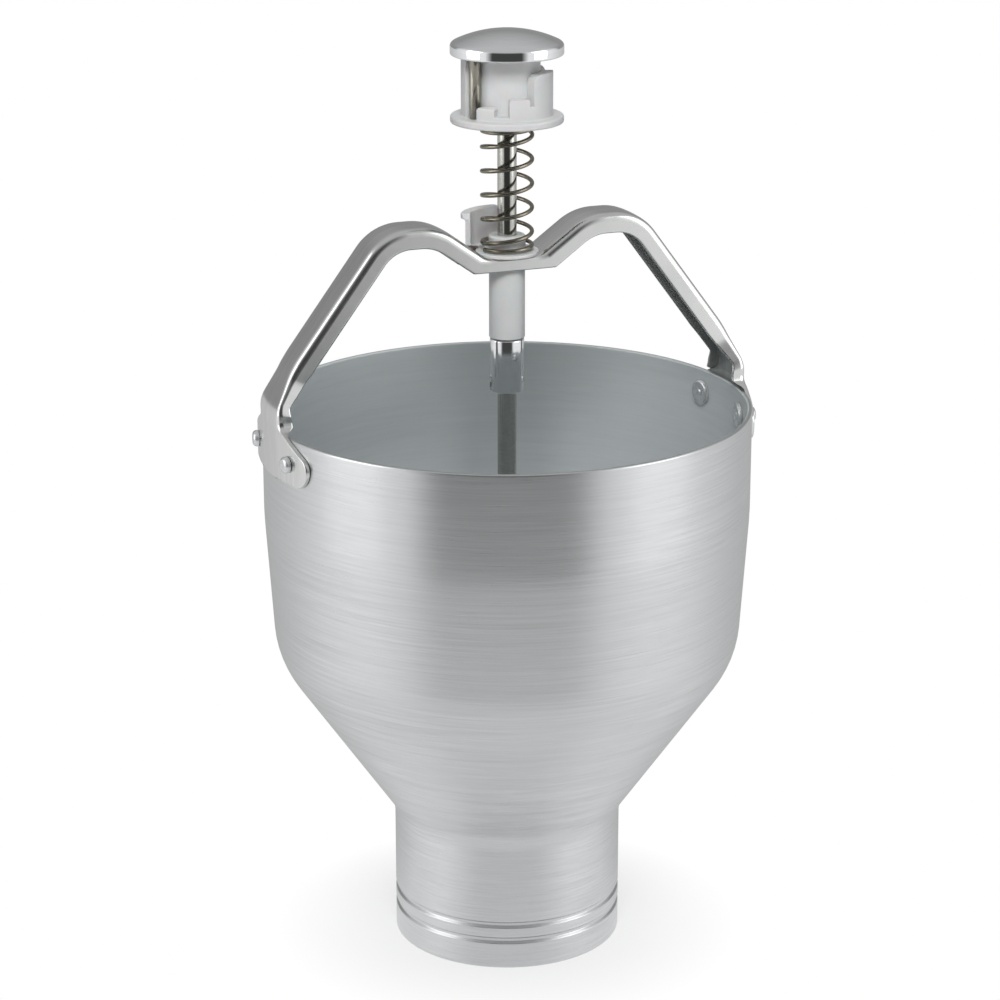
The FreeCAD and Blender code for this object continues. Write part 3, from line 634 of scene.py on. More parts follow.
@dataclass(frozen=True)
class Plastic:
    """A moulded or turned plastic or rubber with a soft surface and a little depth."""

    name: str
    colour: Colour
    shade: Colour
    roughness: float
    depth: float
    edge_wear: float = 0.35
    edge_gain: float = 1.05
    film_roughness: float = 0.1
    cloud_scale: float = 90.0
    cloud_range: Point2 = (0.3, 0.7)
    skin_scale: float = 2600.0
    skin_strength: float = 0.25
    skin_depth: float = 0.04
    light_reach: float = 4.0

    def material(self) -> bpy.types.Material:
        """Build the finish's material.

        Returns:
            The material.
        """
        material, sketch = new_material(self.name)
        place = sketch.add("ShaderNodeTexCoord").outputs["Object"]
        cloud = sketch.ramp(sketch.noise(place, self.cloud_scale, detail=3.0), *self.cloud_range)
        wear = sketch.add("ShaderNodeGroup", {"Edge Amount": self.edge_wear},
                          node_tree=Effects.wear()).outputs
        lifted = tuple(min(1.0, self.edge_gain * c) for c in self.colour)
        colour = sketch.blend(wear["Edge"], sketch.blend(cloud, self.shade, self.colour), lifted)
        film = sketch.math("MULTIPLY", wear["Film"], self.film_roughness)
        rough = sketch.math("ADD", film, self.roughness)
        bump = sketch.add("ShaderNodeBump", {
            "Strength": self.skin_strength, "Distance": self.skin_depth * MM,
            "Height": sketch.noise(place, self.skin_scale)})
        shader = sketch.add("ShaderNodeBsdfPrincipled", {
            "Base Color": colour, "Roughness": rough, "Normal": bump.outputs[0],
            "Subsurface Weight": self.depth, "Subsurface Scale": self.light_reach * MM})
        sketch.end(shader.outputs[0])
        return material


class Finishes:
    """The dispenser's materials."""

    def __init__(self) -> None:
        """Build every material once."""
        self.outside = Metal(
            "spun_aluminium_satin", dark=(0.53, 0.54, 0.545), light=(0.71, 0.72, 0.73), roughness=0.30,
            roughness_spread=0.18, grain=Grain.TURNED, fine=3200.0, long=4.0, bump=0.5, anisotropy=0.7,
            film=0.3, wear=0.4, tone_low=0.22, tone_high=0.72).material()
        self.inside = Metal(
            "spun_aluminium_inside", dark=(0.62, 0.655, 0.66), light=(0.69, 0.725, 0.73), roughness=0.46,
            roughness_spread=0.08, grain=Grain.TURNED, fine=900.0, long=4.0, bump=0.25, film=0.6,
            wear=0.2, metallic=0.3).material()
        self.machined = Metal(
            "machined_aluminium", dark=(0.60, 0.61, 0.62), light=(0.72, 0.73, 0.74), roughness=0.28,
            roughness_spread=0.12, grain=Grain.TURNED, fine=2600.0, long=2.0, bump=0.4, anisotropy=0.5,
            film=0.2, wear=0.5).material()
        self.plated = Metal(
            "plated_steel_bright", dark=(0.64, 0.65, 0.64), light=(0.76, 0.77, 0.76), roughness=0.19,
            roughness_spread=0.08, grain=Grain.DRAWN_ACROSS, fine=900.0, long=60.0, bump=0.1, film=0.6,
            wear=0.5).material()
        # Painted shade: the handle's underside is the same plated steel as its top, coloured darker and made
        # rougher here to stand in for the shade inside its turned-in edges.
        self.plated_underside_painted_shade = Metal(
            "plated_steel_dull_painted_shade", dark=(0.34, 0.35, 0.345), light=(0.46, 0.47, 0.46), roughness=0.42,
            roughness_spread=0.08, grain=Grain.DRAWN_ACROSS, fine=700.0, long=40.0, bump=0.05, film=0.5,
            wear=0.1, metallic=0.55).material()
        self.rivet = Metal(
            "rivet_steel", dark=(0.60, 0.61, 0.62), light=(0.74, 0.75, 0.76), roughness=0.25,
            roughness_spread=0.1, grain=Grain.DRAWN_UP, fine=500.0, long=300.0, bump=0.05, film=0.4,
            wear=0.2, metallic=0.75, tone_low=0.1, tone_high=0.9).material()
        self.rod = Metal(
            "ground_steel_rod", dark=(0.40, 0.40, 0.37), light=(0.54, 0.54, 0.51), roughness=0.11,
            roughness_spread=0.05, grain=Grain.TURNED, fine=3000.0, long=3.0, bump=0.1, film=0.4,
            wear=0.3).material()
        self.pin = Metal(
            "bright_pin_steel", dark=(0.30, 0.28, 0.23), light=(0.42, 0.40, 0.35), roughness=0.08,
            roughness_spread=0.02, grain=Grain.DRAWN_UP, fine=400.0, long=10.0, bump=0.01, film=0.1,
            wear=0.1).material()
        self.wire = Metal(
            "drawn_spring_wire", dark=(0.15, 0.138, 0.108), light=(0.30, 0.28, 0.225), roughness=0.2,
            roughness_spread=0.08, grain=Grain.TURNED, fine=2600.0, long=6.0, bump=0.2, film=0.3,
            wear=0.3).material()
        self.chrome = Metal(
            "polished_chrome", dark=(0.76, 0.77, 0.78), light=(0.84, 0.85, 0.86), roughness=0.07,
            roughness_spread=0.03, grain=Grain.TURNED, fine=3200.0, long=2.0, bump=0.06, film=0.5,
            wear=0.2).material()
        self.nylon = Plastic(
            "white_nylon", colour=(0.74, 0.74, 0.735), shade=(0.70, 0.705, 0.705), roughness=0.36,
            depth=0.2).material()
        self.rubber = Plastic(
            "seal_rubber", colour=(0.035, 0.035, 0.035), shade=(0.02, 0.02, 0.02), roughness=0.6,
            depth=0.0).material()


@dataclass
class Hopper:
    """Spun hopper: straight wall, drafted wall, cone and beaded neck, in millimetres."""

    finishes: Finishes
    wall: float = 2.0
    straight_depth: float = 45.0
    straight_bend: float = 180.0
    shoulder_depth: float = 106.3
    shoulder_bend: float = 42.0
    draft_angle: float = 3.7
    cone_angle: float = 34.8
    neck_radius: float = 48.3
    neck_bend: float = 14.0
    edge_rounding: float = 0.75
    bead_heights: tuple[float, float] = (19.8, 12.7)
    bead_half_width: float = 1.5
    bead_flat: float = 0.6
    bead_depth: float = 0.9
    bead_edge: float = 0.5
    bead_root: float = 0.45
    inward: float = 0.2
    segments: int = 320

    def outside_path(self) -> list[Corner]:
        """Corners of the outside from the rim to the neck's bottom edge.

        Returns:
            The corners as (radius, z, rounding).
        """
        rim_radius, rim, neck = node_radius("hopper_shell"), node_high("hopper_shell"), self.neck_radius
        shoulder = rim_radius - (self.shoulder_depth - self.straight_depth) * tan(radians(self.draft_angle))
        neck_z = rim - self.shoulder_depth - (shoulder - neck) / tan(radians(self.cone_angle))
        path = [(rim_radius, rim, 0.0), (rim_radius, rim - self.straight_depth, self.straight_bend),
                (shoulder, rim - self.shoulder_depth, self.shoulder_bend), (neck, neck_z, self.neck_bend)]
        deep, wide, flat = neck - self.bead_depth, self.bead_half_width, self.bead_flat
        for height in self.bead_heights:
            path += [(neck, height + wide, self.bead_edge), (deep, height + flat, self.bead_root),
                     (deep, height - flat, self.bead_root), (neck, height - wide, self.bead_edge)]
        return path + [(neck, 0.0, 0.0)]

    def build(self) -> Object:
        """Make the shell with its two finishes.

        Returns:
            The hopper, outside satin and inside as spun.
        """
        outside = self.outside_path()
        inside = offset_path(outside, -self.wall)
        corners = outside + inside[::-1]
        last = len(outside) - 1
        for index in (0, last, last + 1, len(corners) - 1):
            corners[index] = (*corners[index][:2], self.edge_rounding)
        piece = Mesher.lathe("hopper", rounded(corners, Span.CLOSED), self.segments)
        piece.data.materials.append(self.finishes.outside)
        piece.data.materials.append(self.finishes.inside)
        for face in piece.data.polygons:
            centre, normal = face.center, face.normal
            radial = normal.x * centre.x + normal.y * centre.y
            faces_axis = radial < -self.inward * hypot(centre.x, centre.y)
            face.material_index = 1 if faces_axis else 0
        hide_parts("hopper_shell")
        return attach(piece, "hopper")


@dataclass
class Handle:
    """Stamped strip handle with turned-in edges, a saddle and two flared feet, in millimetres."""

    finishes: Finishes
    gauge: float = 1.8
    strap_width: float = 19.5
    flange_depth: float = 8.0
    saddle_flange_depth: float = 5.6
    saddle_rise: float = 63.8
    saddle_half: float = 12.0
    saddle_blend: float = 7.0
    crest_rise: float = 78.5
    crest_in: float = 32.4
    crest_in_blend: float = 24.0
    crest_out: float = 55.6
    crest_out_blend: float = 22.0
    knee_out: float = 94.1
    knee_rise: float = 26.9
    knee_bend: float = 60.0
    ankle_rise: float = 9.1
    ankle_bend: float = 16.0
    neck_width: float = 25.4
    foot_width: float = 66.4
    foot_drop: float = 18.6
    foot_shoulder_drop: float = 7.0
    foot_corner: float = 8.5
    side_top: float = 200.0
    taper_top: float = 22.0
    taper_low: float = 8.6
    flare_rise: float = 2.8
    side_bends: tuple[float, float, float, float] = (12.0, 6.0, 4.0, 5.0)
    seat_gap: float = 0.1
    arm_start: float = 60.0
    wrap_top: float = 14.0
    wrap_length: float = 12.0
    fade_inset: float = 6.0
    fade_rise: float = 10.4
    fade_slope: float = 1.2
    flange_end_rise: float = 0.4
    flange_end_length: float = 3.0
    bend_radius: float = 2.8
    thin_bend: float = 0.55
    thin_tip: float = 0.45
    tip_gain: float = 0.4
    thin_inset: float = 0.6
    thin_share: float = 0.02
    thin_lean: float = 0.1
    sharp_bend: float = 0.01
    least_bend: float = 0.02
    least_lean: float = 0.2
    least_slope: float = 0.3
    crown: float = 0.45
    spacing: float = 1.2
    foot_spacing: float = 0.4

    @property
    def out(self) -> float:
        """Distance of the feet's outside from the axis."""
        return node_radius("hopper_shell") + self.seat_gap + self.gauge

    def centre_path(self) -> list[Corner]:
        """Corners of the strip's outside from the -X foot over the saddle to the +X foot.

        Returns:
            The corners as (x, z, rounding).
        """
        rim = node_high("hopper_shell")
        half = [(self.out, rim - self.foot_drop, 0.0), (self.out, rim + self.ankle_rise, self.ankle_bend),
                (self.knee_out, rim + self.knee_rise, self.knee_bend),
                (self.crest_out, rim + self.crest_rise, self.crest_out_blend),
                (self.crest_in, rim + self.crest_rise, self.crest_in_blend),
                (self.saddle_half, rim + self.saddle_rise, self.saddle_blend)]
        return [(-x, z, r) for x, z, r in half] + half[::-1]

    @cached_property
    def side(self) -> list[Point2]:
        """Half widths of the strip and its foot from the top down.

        Returns:
            The outline as (half width, rise over the rim).
        """
        narrow, neck, wide = self.strap_width / 2, self.neck_width / 2, self.foot_width / 2
        top, low, flare, shoulder = self.side_bends
        corners = [(narrow, self.side_top, 0.0), (narrow, self.taper_top, top), (neck, self.taper_low, low),
                   (neck, self.flare_rise, flare), (wide, -self.foot_shoulder_drop, shoulder),
                   (wide, -self.foot_drop, self.foot_corner), (0.0, -self.foot_drop, 0.0)]
        return rounded(corners, Span.OPEN, steps=12, support=0.1)

    def half_width(self, rise: float) -> float:
        """Half of the strip's width at a height over the rim.

        Args:
            rise: the height.

        Returns:
            The half width.
        """
        for (wide_a, high), (wide_b, low) in zip(self.side, self.side[1:]):
            if low <= rise <= high and high > low:
                return wide_a + (wide_b - wide_a) * (high - rise) / (high - low)
        return self.strap_width / 2

    def flange(self, place: Vector, normal: Vector) -> float:
        """How far the turned-in edges reach below the outside at a place on the path.

        Args:
            place: the place as (x, z).
            normal: outward normal there.

        Returns:
            The depth, shallow under the saddle and fading out over the rim.
        """
        rim = node_high("hopper_shell")
        rise = place.y - rim
        floor_gap = place.y - (rim + self.saddle_rise - self.saddle_flange_depth)
        depth = self.flange_depth
        if abs(place.x) < self.crest_in:
            depth = min(depth, floor_gap / max(normal.y, self.least_lean))
        reach = self.out - self.fade_inset
        wall = (abs(place.x) - reach) / max(abs(normal.x), self.least_lean)
        slope = Vector((self.fade_slope, 1.0)).normalized()
        line = (rise - self.fade_rise + self.fade_slope * (abs(place.x) - reach)) * slope.y
        slant = line / max(slope.dot(Vector((abs(normal.x), normal.y))), self.least_slope)
        depth = min(depth, max(wall, slant)) if abs(place.x) > self.arm_start else depth
        share = ease((rise - self.flange_end_rise) / self.flange_end_length)
        return self.gauge + max(depth - self.gauge, 0.0) * share

    def section(self, half: float, depth: float) -> list[Point2]:
        """Closed outline of the strip across its width.

        Args:
            half: half of its width.
            depth: how far its edges reach below its outside.

        Returns:
            The outline as (across, outward) points.
        """
        share = (depth - self.gauge) / (self.flange_depth - self.gauge)
        bend = self.thin_bend + (self.bend_radius - self.thin_bend) * share
        inner_bend = max((bend - self.gauge) * share, self.least_bend)
        tip = self.thin_tip + self.tip_gain * share
        wall = self.gauge
        inner_y = half - wall * share - self.thin_inset * (1 - share)
        corners = [(-half, -depth, tip), (-half, 0.0, bend), (half, 0.0, bend), (half, -depth, tip)]
        if share < self.thin_share:
            sharp = self.sharp_bend
            inner = [(inner_y, -depth, sharp), (inner_y - self.thin_lean, -wall, sharp)]
        else:
            inner = [(inner_y, -depth, tip * share), (inner_y, -wall, inner_bend)]
        corners += [(y, n, r) for y, n, r in inner] + [(-y, n, r) for y, n, r in inner[::-1]]
        return even_outline(corners)

    def stations(self) -> list[tuple[Vector, Vector]]:
        """Places on the path and outward normals, close together on the feet and the bends.

        Returns:
            Pairs of a place as (x, z) and the normal there.
        """
        outline = [Vector(p) for p in rounded(self.centre_path(), Span.OPEN, steps=14, support=0.4)]
        dense: list[Vector] = []
        rim = node_high("hopper_shell")
        for here, ahead in zip(outline, outline[1:]):
            on_foot = min(here.y, ahead.y) < rim + self.ankle_rise
            gap = self.foot_spacing if on_foot else self.spacing
            count = max(1, ceil((ahead - here).length / gap))
            dense.extend(here.lerp(ahead, k / count) for k in range(count))
        dense.append(outline[-1])
        places = []
        for index, here in enumerate(dense):
            way = (dense[min(index + 1, len(dense) - 1)] - dense[max(index - 1, 0)]).normalized()
            places.append((here, Vector((-way.y, way.x))))
        return places

    def build(self) -> Object:
        """Make the handle as a loft of its section along its path.

        Returns:
            The handle.
        """
        rim, out = node_high("hopper_shell"), self.out
        rings = []
        for place, normal in self.stations():
            rise = place.y - rim
            wrap = ease((self.wrap_top - rise) / self.wrap_length)
            side = 1.0 if place.x > 0 else -1.0
            ring = []
            half, depth = self.half_width(rise), self.flange(place, normal)
            arch = self.crown * (depth - self.gauge) / (self.flange_depth - self.gauge)
            for across, outward in self.section(half, depth):
                drop = (out - sqrt(out ** 2 - across ** 2)) * wrap
                outward += arch * (1 - (across / half) ** 2)
                x = place.x + normal.x * outward - side * drop
                ring.append(Vector((x, across, place.y + normal.y * outward)))
            rings.append(ring)
        # The last four of the section's eight corners lie on the strip's underside, which takes the darker copy of
        # the plated steel as painted shade.
        points_a_corner = len(rings[0]) // 8
        underside = range(4 * points_a_corner, 7 * points_a_corner + CORNER_STEPS)
        piece = Mesher.loft("handle", rings, Span.CLOSED, Span.OPEN, underside)
        piece.data.materials.append(self.finishes.plated)
        piece.data.materials.append(self.finishes.plated_underside_painted_shade)
        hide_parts("carry_handle")
        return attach(piece, "hopper")


class GeometryTree:
    """A geometry node tree with named inputs that turns a start object into a plain mesh."""

    def __init__(self, name: str, inputs: dict[str, float | int]) -> None:
        """Make the tree, its sockets and its end nodes.

        Args:
            name: name of the tree.
            inputs: the sizes it takes, whole numbers as integer sockets.
        """
        self.tree = bpy.data.node_groups.new(name, "GeometryNodeTree")
        face = self.tree.interface
        face.new_socket("Geometry", in_out="INPUT", socket_type="NodeSocketGeometry")
        self.values = inputs
        for key, value in inputs.items():
            kind = "NodeSocketInt" if isinstance(value, int) else "NodeSocketFloat"
            face.new_socket(key, in_out="INPUT", socket_type=kind).default_value = value
        face.new_socket("Geometry", in_out="OUTPUT", socket_type="NodeSocketGeometry")
        self.sketch = Sketch(self.tree)
        self.start = self.sketch.add("NodeGroupInput")

    def finish(self, result: Socket, material: bpy.types.Material, source: Object) -> Object:
        """Realize the result, give it its material and make it a plain mesh object.

        Args:
            result: the socket that holds the geometry.
            material: its finish.
            source: the object that carries the tree; its mesh becomes the result.

        Returns:
            The same object without its modifier.
        """
        smooth = self.sketch.add("GeometryNodeSetShadeSmooth", {0: result})
        real = self.sketch.add("GeometryNodeRealizeInstances", {0: smooth.outputs[0]})
        painted = self.sketch.add("GeometryNodeSetMaterial", {0: real.outputs[0], "Material": material})
        self.sketch.end(painted.outputs[0], "NodeGroupOutput")
        modifier = source.modifiers.new(self.tree.name, "NODES")
        modifier.node_group = self.tree
        for item in self.tree.interface.items_tree:
            if item.in_out == "INPUT" and item.name in self.values:
                modifier[item.identifier] = self.values[item.name]
        graph = bpy.context.evaluated_depsgraph_get()
        mesh = bpy.data.meshes.new_from_object(source.evaluated_get(graph))
        source.modifiers.remove(modifier)
        source.data = mesh
        return source


@dataclass
class Rivets:
    """The four rivets of the handle's feet, made once and set on their places."""

    finishes: Finishes
    wall: float = 2.0
    head_radius: float = 5.5
    head_height: float = 1.8
    shank_radius: float = 2.5
    tail_radius: float = 3.4
    tail_height: float = 2.54
    head_gap: float = 0.2
    foot_face: float = 1.95
    nib_radius: float = 0.9
    groove_radius: float = 1.5
    groove_depth: float = 0.35
    crown_radius: float = 3.4
    crown_depth: float = 0.1
    head_rounding: float = 1.1
    tail_rounding: float = 1.7
    sides: int = 40

    def pattern(self) -> Object:
        """Make one rivet along +Z.

        Returns:
            The rivet, at its distance from the axis, with its head low and its tail high.
        """
        inner_face = node_radius("hopper_shell") - self.wall - self.head_gap
        outer_face = node_radius("hopper_shell") + self.foot_face
        low, high = inner_face - self.head_height, outer_face + self.tail_height
        crown = low + self.crown_depth
        corners = [(0.0, low, 0.0), (self.nib_radius, low, 0.3),
                   (self.groove_radius, low + self.groove_depth, 0.3), (self.crown_radius, crown, 0.6),
                   (self.head_radius, crown, self.head_rounding), (self.head_radius, inner_face, 0.25),
                   (self.shank_radius, inner_face, 0.0), (self.shank_radius, outer_face, 0.0),
                   (self.tail_radius, outer_face, 0.2), (self.tail_radius, high, self.tail_rounding),
                   (0.0, high, 0.0)]
        outline = rounded(corners, Span.OPEN, steps=5, support=0.1)
        return Mesher.lathe("rivet_pattern", outline, self.sides, Span.OPEN)

    def build(self) -> Object:
        """Set the rivet on its four places with geometry nodes.

        Returns:
            One object with all four rivets.
        """
        pattern = self.pattern()
        mesh = bpy.data.meshes.new("rivets")
        places, angles = [], []
        for number in range(1, 5):
            low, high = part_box(f"rivet_{number}")
            centre = (low + high) / 2
            places.append((0.0, 0.0, centre.z))
            angles.append(atan2(centre.y, centre.x))
        mesh.from_pydata(places, [], [])
        mesh.attributes.new("turn", "FLOAT", "POINT").data.foreach_set("value", angles)
        piece = add_object("rivets", mesh)
        tree = GeometryTree("rivets_on_feet", {"Lean": pi / 2, "Size": 1.0})
        sketch, start = tree.sketch, tree.start
        turn = sketch.add("GeometryNodeInputNamedAttribute", {"Name": "turn"}, data_type="FLOAT")
        rotation = sketch.combine(0.0, start.outputs["Lean"], turn.outputs[0])
        shape = sketch.add("GeometryNodeObjectInfo", {"Object": pattern})
        points = sketch.add("GeometryNodeMeshToPoints", {0: start.outputs[0]})
        placed = sketch.add("GeometryNodeInstanceOnPoints", {
            "Points": points.outputs[0], "Instance": shape.outputs["Geometry"], "Rotation": rotation,
            "Scale": start.outputs["Size"]})
        piece = tree.finish(placed.outputs[0], self.finishes.rivet, piece)
        bpy.data.objects.remove(pattern)
        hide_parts("rivet_1", "rivet_2", "rivet_3", "rivet_4")
        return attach(piece, "hopper")


@dataclass
class Spring:
    """Right-hand return spring with a closed turn at each end, wound by geometry nodes."""

    finishes: Finishes
    mean_radius: float = 10.2
    wire_radius: float = 0.87
    active_turns: float = 4.5
    closed_turns: float = 1.0
    closed_pitch: float = 2.6
    start_angle: float = 186.0
    steps_a_turn: int = 56
    wire_sides: int = 20

    def build(self, stroke: float) -> Object:
        """Wind the spring.

        Args:
            stroke: how far the plunger presses it together, in millimetres; not used.

        Returns:
            The spring.
        """
        low = node_low("return_spring") + self.wire_radius
        high = node_high("return_spring") - self.wire_radius
        turns = self.active_turns + 2 * self.closed_turns
        pitch = (high - low - 2 * self.closed_turns * self.closed_pitch) / self.active_turns
        tree = GeometryTree("wound_spring", {
            "Turns": turns, "Closed Turns": self.closed_turns, "Active Turns": self.active_turns,
            "Pitch": pitch * MM, "Closed Pitch": self.closed_pitch * MM, "Low": low * MM,
            "Mean Radius": self.mean_radius * MM, "Wire Radius": self.wire_radius * MM,
            "Start Angle": radians(self.start_angle), "Count": int(turns * self.steps_a_turn)})
        sketch, size = tree.sketch, tree.start.outputs
        line = sketch.add("GeometryNodeCurvePrimitiveLine")
        dense = sketch.add("GeometryNodeResampleCurve", {"Curve": line.outputs[0], "Count": size["Count"]})
        share = sketch.add("GeometryNodeSplineParameter").outputs["Factor"]
        turn = sketch.math("MULTIPLY", share, size["Turns"])
        active = sketch.math("SUBTRACT", turn, size["Closed Turns"])
        active = sketch.math("MINIMUM", sketch.math("MAXIMUM", active, 0.0), size["Active Turns"])
        closed = sketch.math("SUBTRACT", turn, active)
        rise = sketch.math("ADD", sketch.math("MULTIPLY", active, size["Pitch"]),
                           sketch.math("MULTIPLY", closed, size["Closed Pitch"]))
        angle = sketch.math("ADD", sketch.math("MULTIPLY", turn, 2 * pi), size["Start Angle"])
        x, y = (sketch.math("MULTIPLY", sketch.math(way, angle), size["Mean Radius"])
                for way in ("COSINE", "SINE"))
        place = sketch.combine(x, y, sketch.math("ADD", rise, size["Low"]))
        wound = sketch.add("GeometryNodeSetPosition", {"Geometry": dense.outputs[0], "Position": place})
        ring = sketch.add("GeometryNodeCurvePrimitiveCircle", {
            "Resolution": self.wire_sides, "Radius": size["Wire Radius"]})
        wire = sketch.add("GeometryNodeCurveToMesh", {
            "Curve": wound.outputs[0], "Profile Curve": ring.outputs[0], "Fill Caps": True})
        source = add_object("spring", bpy.data.meshes.new("spring"))
        piece = tree.finish(wire.outputs[0], self.finishes.wire, source)
        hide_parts("return_spring")
        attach(piece, "hopper")
        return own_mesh(piece)


@dataclass
class Bush:
    """White bush on the saddle with its shank and its lipped stop tab."""

    finishes: Finishes
    bore: float = 4.0
    shank_radius: float = 6.0
    flange_radius: float = 13.0
    flange_thickness: float = 1.4
    boss_radius: float = 7.6
    boss_height: float = 6.4
    tab_inner: float = 15.0
    tab_thickness: float = 2.0
    tab_lip: float = 2.0
    tab_lip_height: float = 2.4
    tab_start: float = 79.0
    tab_span: float = 85.0
    tab_steps: int = 60
    tab_rounding: float = 2.2
    tab_edge: float = 0.6
    tab_root: float = 1.0
    root_bend: float = 0.02
    foot_edge: float = 0.4
    foot_depth: float = 1.0
    foot_thickness: float = 0.3
    lip_fade: float = 3.0
    lip_root: float = 0.5
    lip_edge: float = 0.35
    lip_slope: float = 0.1
    least_lip: float = 0.02
    least_lip_height: float = 0.6
    strap_half: float = 10.2
    saddle_rise: float = 63.8
    saddle_half: float = 12.0
    saddle_slope: float = 0.72
    strap_gap: float = 0.2

    def turned_part(self) -> Object:
        """Turn the flange, boss and shank.

        Returns:
            The turned part.
        """
        low = node_low("stop_bush")
        top = node_high("hopper_shell") + self.saddle_rise
        seat = top + self.flange_thickness
        boss_top = seat + self.boss_height
        corners = [(self.bore, low, 0.3), (self.shank_radius, low, 0.6), (self.shank_radius, top, 0.05),
                   (self.flange_radius, top, 0.2), (self.flange_radius, seat, 0.5),
                   (self.boss_radius, seat, 0.4), (self.boss_radius, boss_top, 0.9),
                   (self.bore, boss_top, 0.5)]
        return Mesher.lathe("bush_turned", rounded(corners, Span.CLOSED, steps=4, support=0.12))

    def tab(self) -> Object:
        """Loft the stop tab, an arc wall with an outward lip and rounded ends.

        Returns:
            The tab.
        """
        base = node_high("hopper_shell") + self.saddle_rise
        seat, top = base + self.flange_thickness, node_high("stop_bush")
        inner, outer = self.tab_inner, self.tab_inner + self.tab_thickness
        lip_low = top - self.tab_lip_height
        root = self.flange_radius - self.tab_root
        rings = []
        for step in range(self.tab_steps + 1):
            share = step / self.tab_steps
            angle = self.tab_start + self.tab_span * share
            from_end = min(share, 1 - share) * radians(self.tab_span) * outer
            low = base + self.strap_clearance(angle, outer)
            floor = max(seat, max(low, seat - self.foot_depth) + self.foot_thickness)
            lip = outer + self.tab_lip * sqrt(min(from_end / self.lip_fade, 1.0)) + self.least_lip
            high = top - end_drop(from_end, self.tab_rounding)
            lip_under = min(lip_low, high - self.least_lip_height)
            corners = [(root, low, self.root_bend), (outer, low, self.foot_edge),
                       (outer, lip_under, self.lip_root), (lip, lip_under + self.lip_slope, self.lip_edge),
                       (lip, high, self.tab_edge), (inner, high, self.tab_edge),
                       (inner, floor, self.tab_edge), (root, floor, self.root_bend)]
            outline = even_outline(corners)
            rings.append([polar(radius, angle, z) for radius, z in outline])
        return Mesher.loft("bush_tab", rings, Span.CLOSED, Span.OPEN)

    def strap_clearance(self, angle: float, radius: float) -> float:
        """How much the tab's foot rises to clear the strap beside the saddle.

        Args:
            angle: degrees about the axis.
            radius: distance from the axis.

        Returns:
            The rise.
        """
        place = polar(radius, angle, 0.0)
        over_strap = abs(place.y) < self.strap_half
        beyond = max(abs(place.x) - self.saddle_half, 0.0)
        return beyond * self.saddle_slope + self.strap_gap if over_strap else 0.0

    def build(self) -> Object:
        """Make the bush.

        Returns:
            The bush.
        """
        piece = Mesher.join("bush", [self.turned_part(), self.tab()])
        piece.data.materials.clear()
        piece.data.materials.append(self.finishes.nylon)
        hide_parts("stop_bush")
        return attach(piece, "hopper")


@dataclass
class Dial:
    """Stepped portion dial: a flange and a crown whose height changes round the axis."""

    finishes: Finishes
    bore: float = 13.57
    flange: float = 3.0
    crown_radius: float = 18.6
    bore_rounding: float = 0.35
    edge_rounding: float = 0.8
    seat_rounding: float = 0.9
    top_rounding: float = 0.55
    zero_angle: float = -111.0
    steps: tuple[tuple[float, float], ...] = (
        (-63.0, 0.0), (-41.0, 5.2), (-16.0, 1.75), (3.0, 8.8), (30.0, 5.8), (36.0, 18.0), (100.0, 12.0),
        (122.0, 18.0), (150.0, 15.0), (175.0, 24.0))
    corner: float = 0.9
    tall_corner: float = 3.2
    tall: float = 18.0
    least_height: float = 0.02
    rounding_share: float = 0.45
    crown_foot: float = 0.5
    near_steps: tuple[float, ...] = (0.02, 0.15, 0.4, 0.9, 1.6, 2.6, 4.0, 6.0, 9.0)

    def height(self, angle: float) -> float:
        """Height of the crown over the flange at an angle from the dial's zero.

        Args:
            angle: degrees, anywhere in the dial's turn.

        Returns:
            The height in millimetres, with each block's upper corners rounded.
        """
        starts = [start for start, _ in self.steps]
        heights = [height for _, height in self.steps]
        ends = starts[1:] + [starts[0] + 360]
        angle = (angle - starts[0]) % 360 + starts[0]
        index = next(i for i, end in enumerate(ends) if angle < end)
        here = heights[index]
        before, after = heights[index - 1], heights[(index + 1) % len(heights)]
        radius = self.tall_corner if here == self.tall else self.corner
        reach = radians(1) * (self.bore + self.crown_radius) / 2
        drop = 0.0
        if here > before:
            drop = end_drop((angle - starts[index]) * reach, min(radius, here - before))
        if here > after:
            drop = max(drop, end_drop((ends[index] - angle) * reach, min(radius, here - after)))
        return here - drop

    def angles(self) -> list[float]:
        """Angles of the sections.

        Returns:
            One at each degree, and close pairs on both sides of each step.
        """
        values = {k * 1.0 for k in range(360)}
        for start, _ in self.steps:
            for shift in self.near_steps:
                values |= {(start - shift) % 360, (start + shift) % 360}
        return sorted(values)

    def build(self) -> Object:
        """Loft the dial's sections round the axis.

        Returns:
            The dial.
        """
        low, radius = node_low("portion_dial"), node_radius("portion_dial")
        seat = low + self.flange
        rings = []
        for angle in self.angles():
            top = seat + max(self.height(angle), self.least_height)
            rounding = min(self.top_rounding, (top - seat) * self.rounding_share)
            corners = [(self.bore, low, self.bore_rounding), (radius, low, self.edge_rounding),
                       (radius, seat, self.seat_rounding),
                       (self.crown_radius, seat, min(self.crown_foot, rounding)),
                       (self.crown_radius, top, rounding),
                       (self.bore, top, rounding)]
            rings.append([polar(r, self.zero_angle + angle, z) for r, z in even_outline(corners)])
        piece = Mesher.loft("dial", rings, Span.CLOSED, Span.CLOSED)
        piece.data.materials.append(self.finishes.nylon)
        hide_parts("portion_dial")
        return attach(piece, "dial")


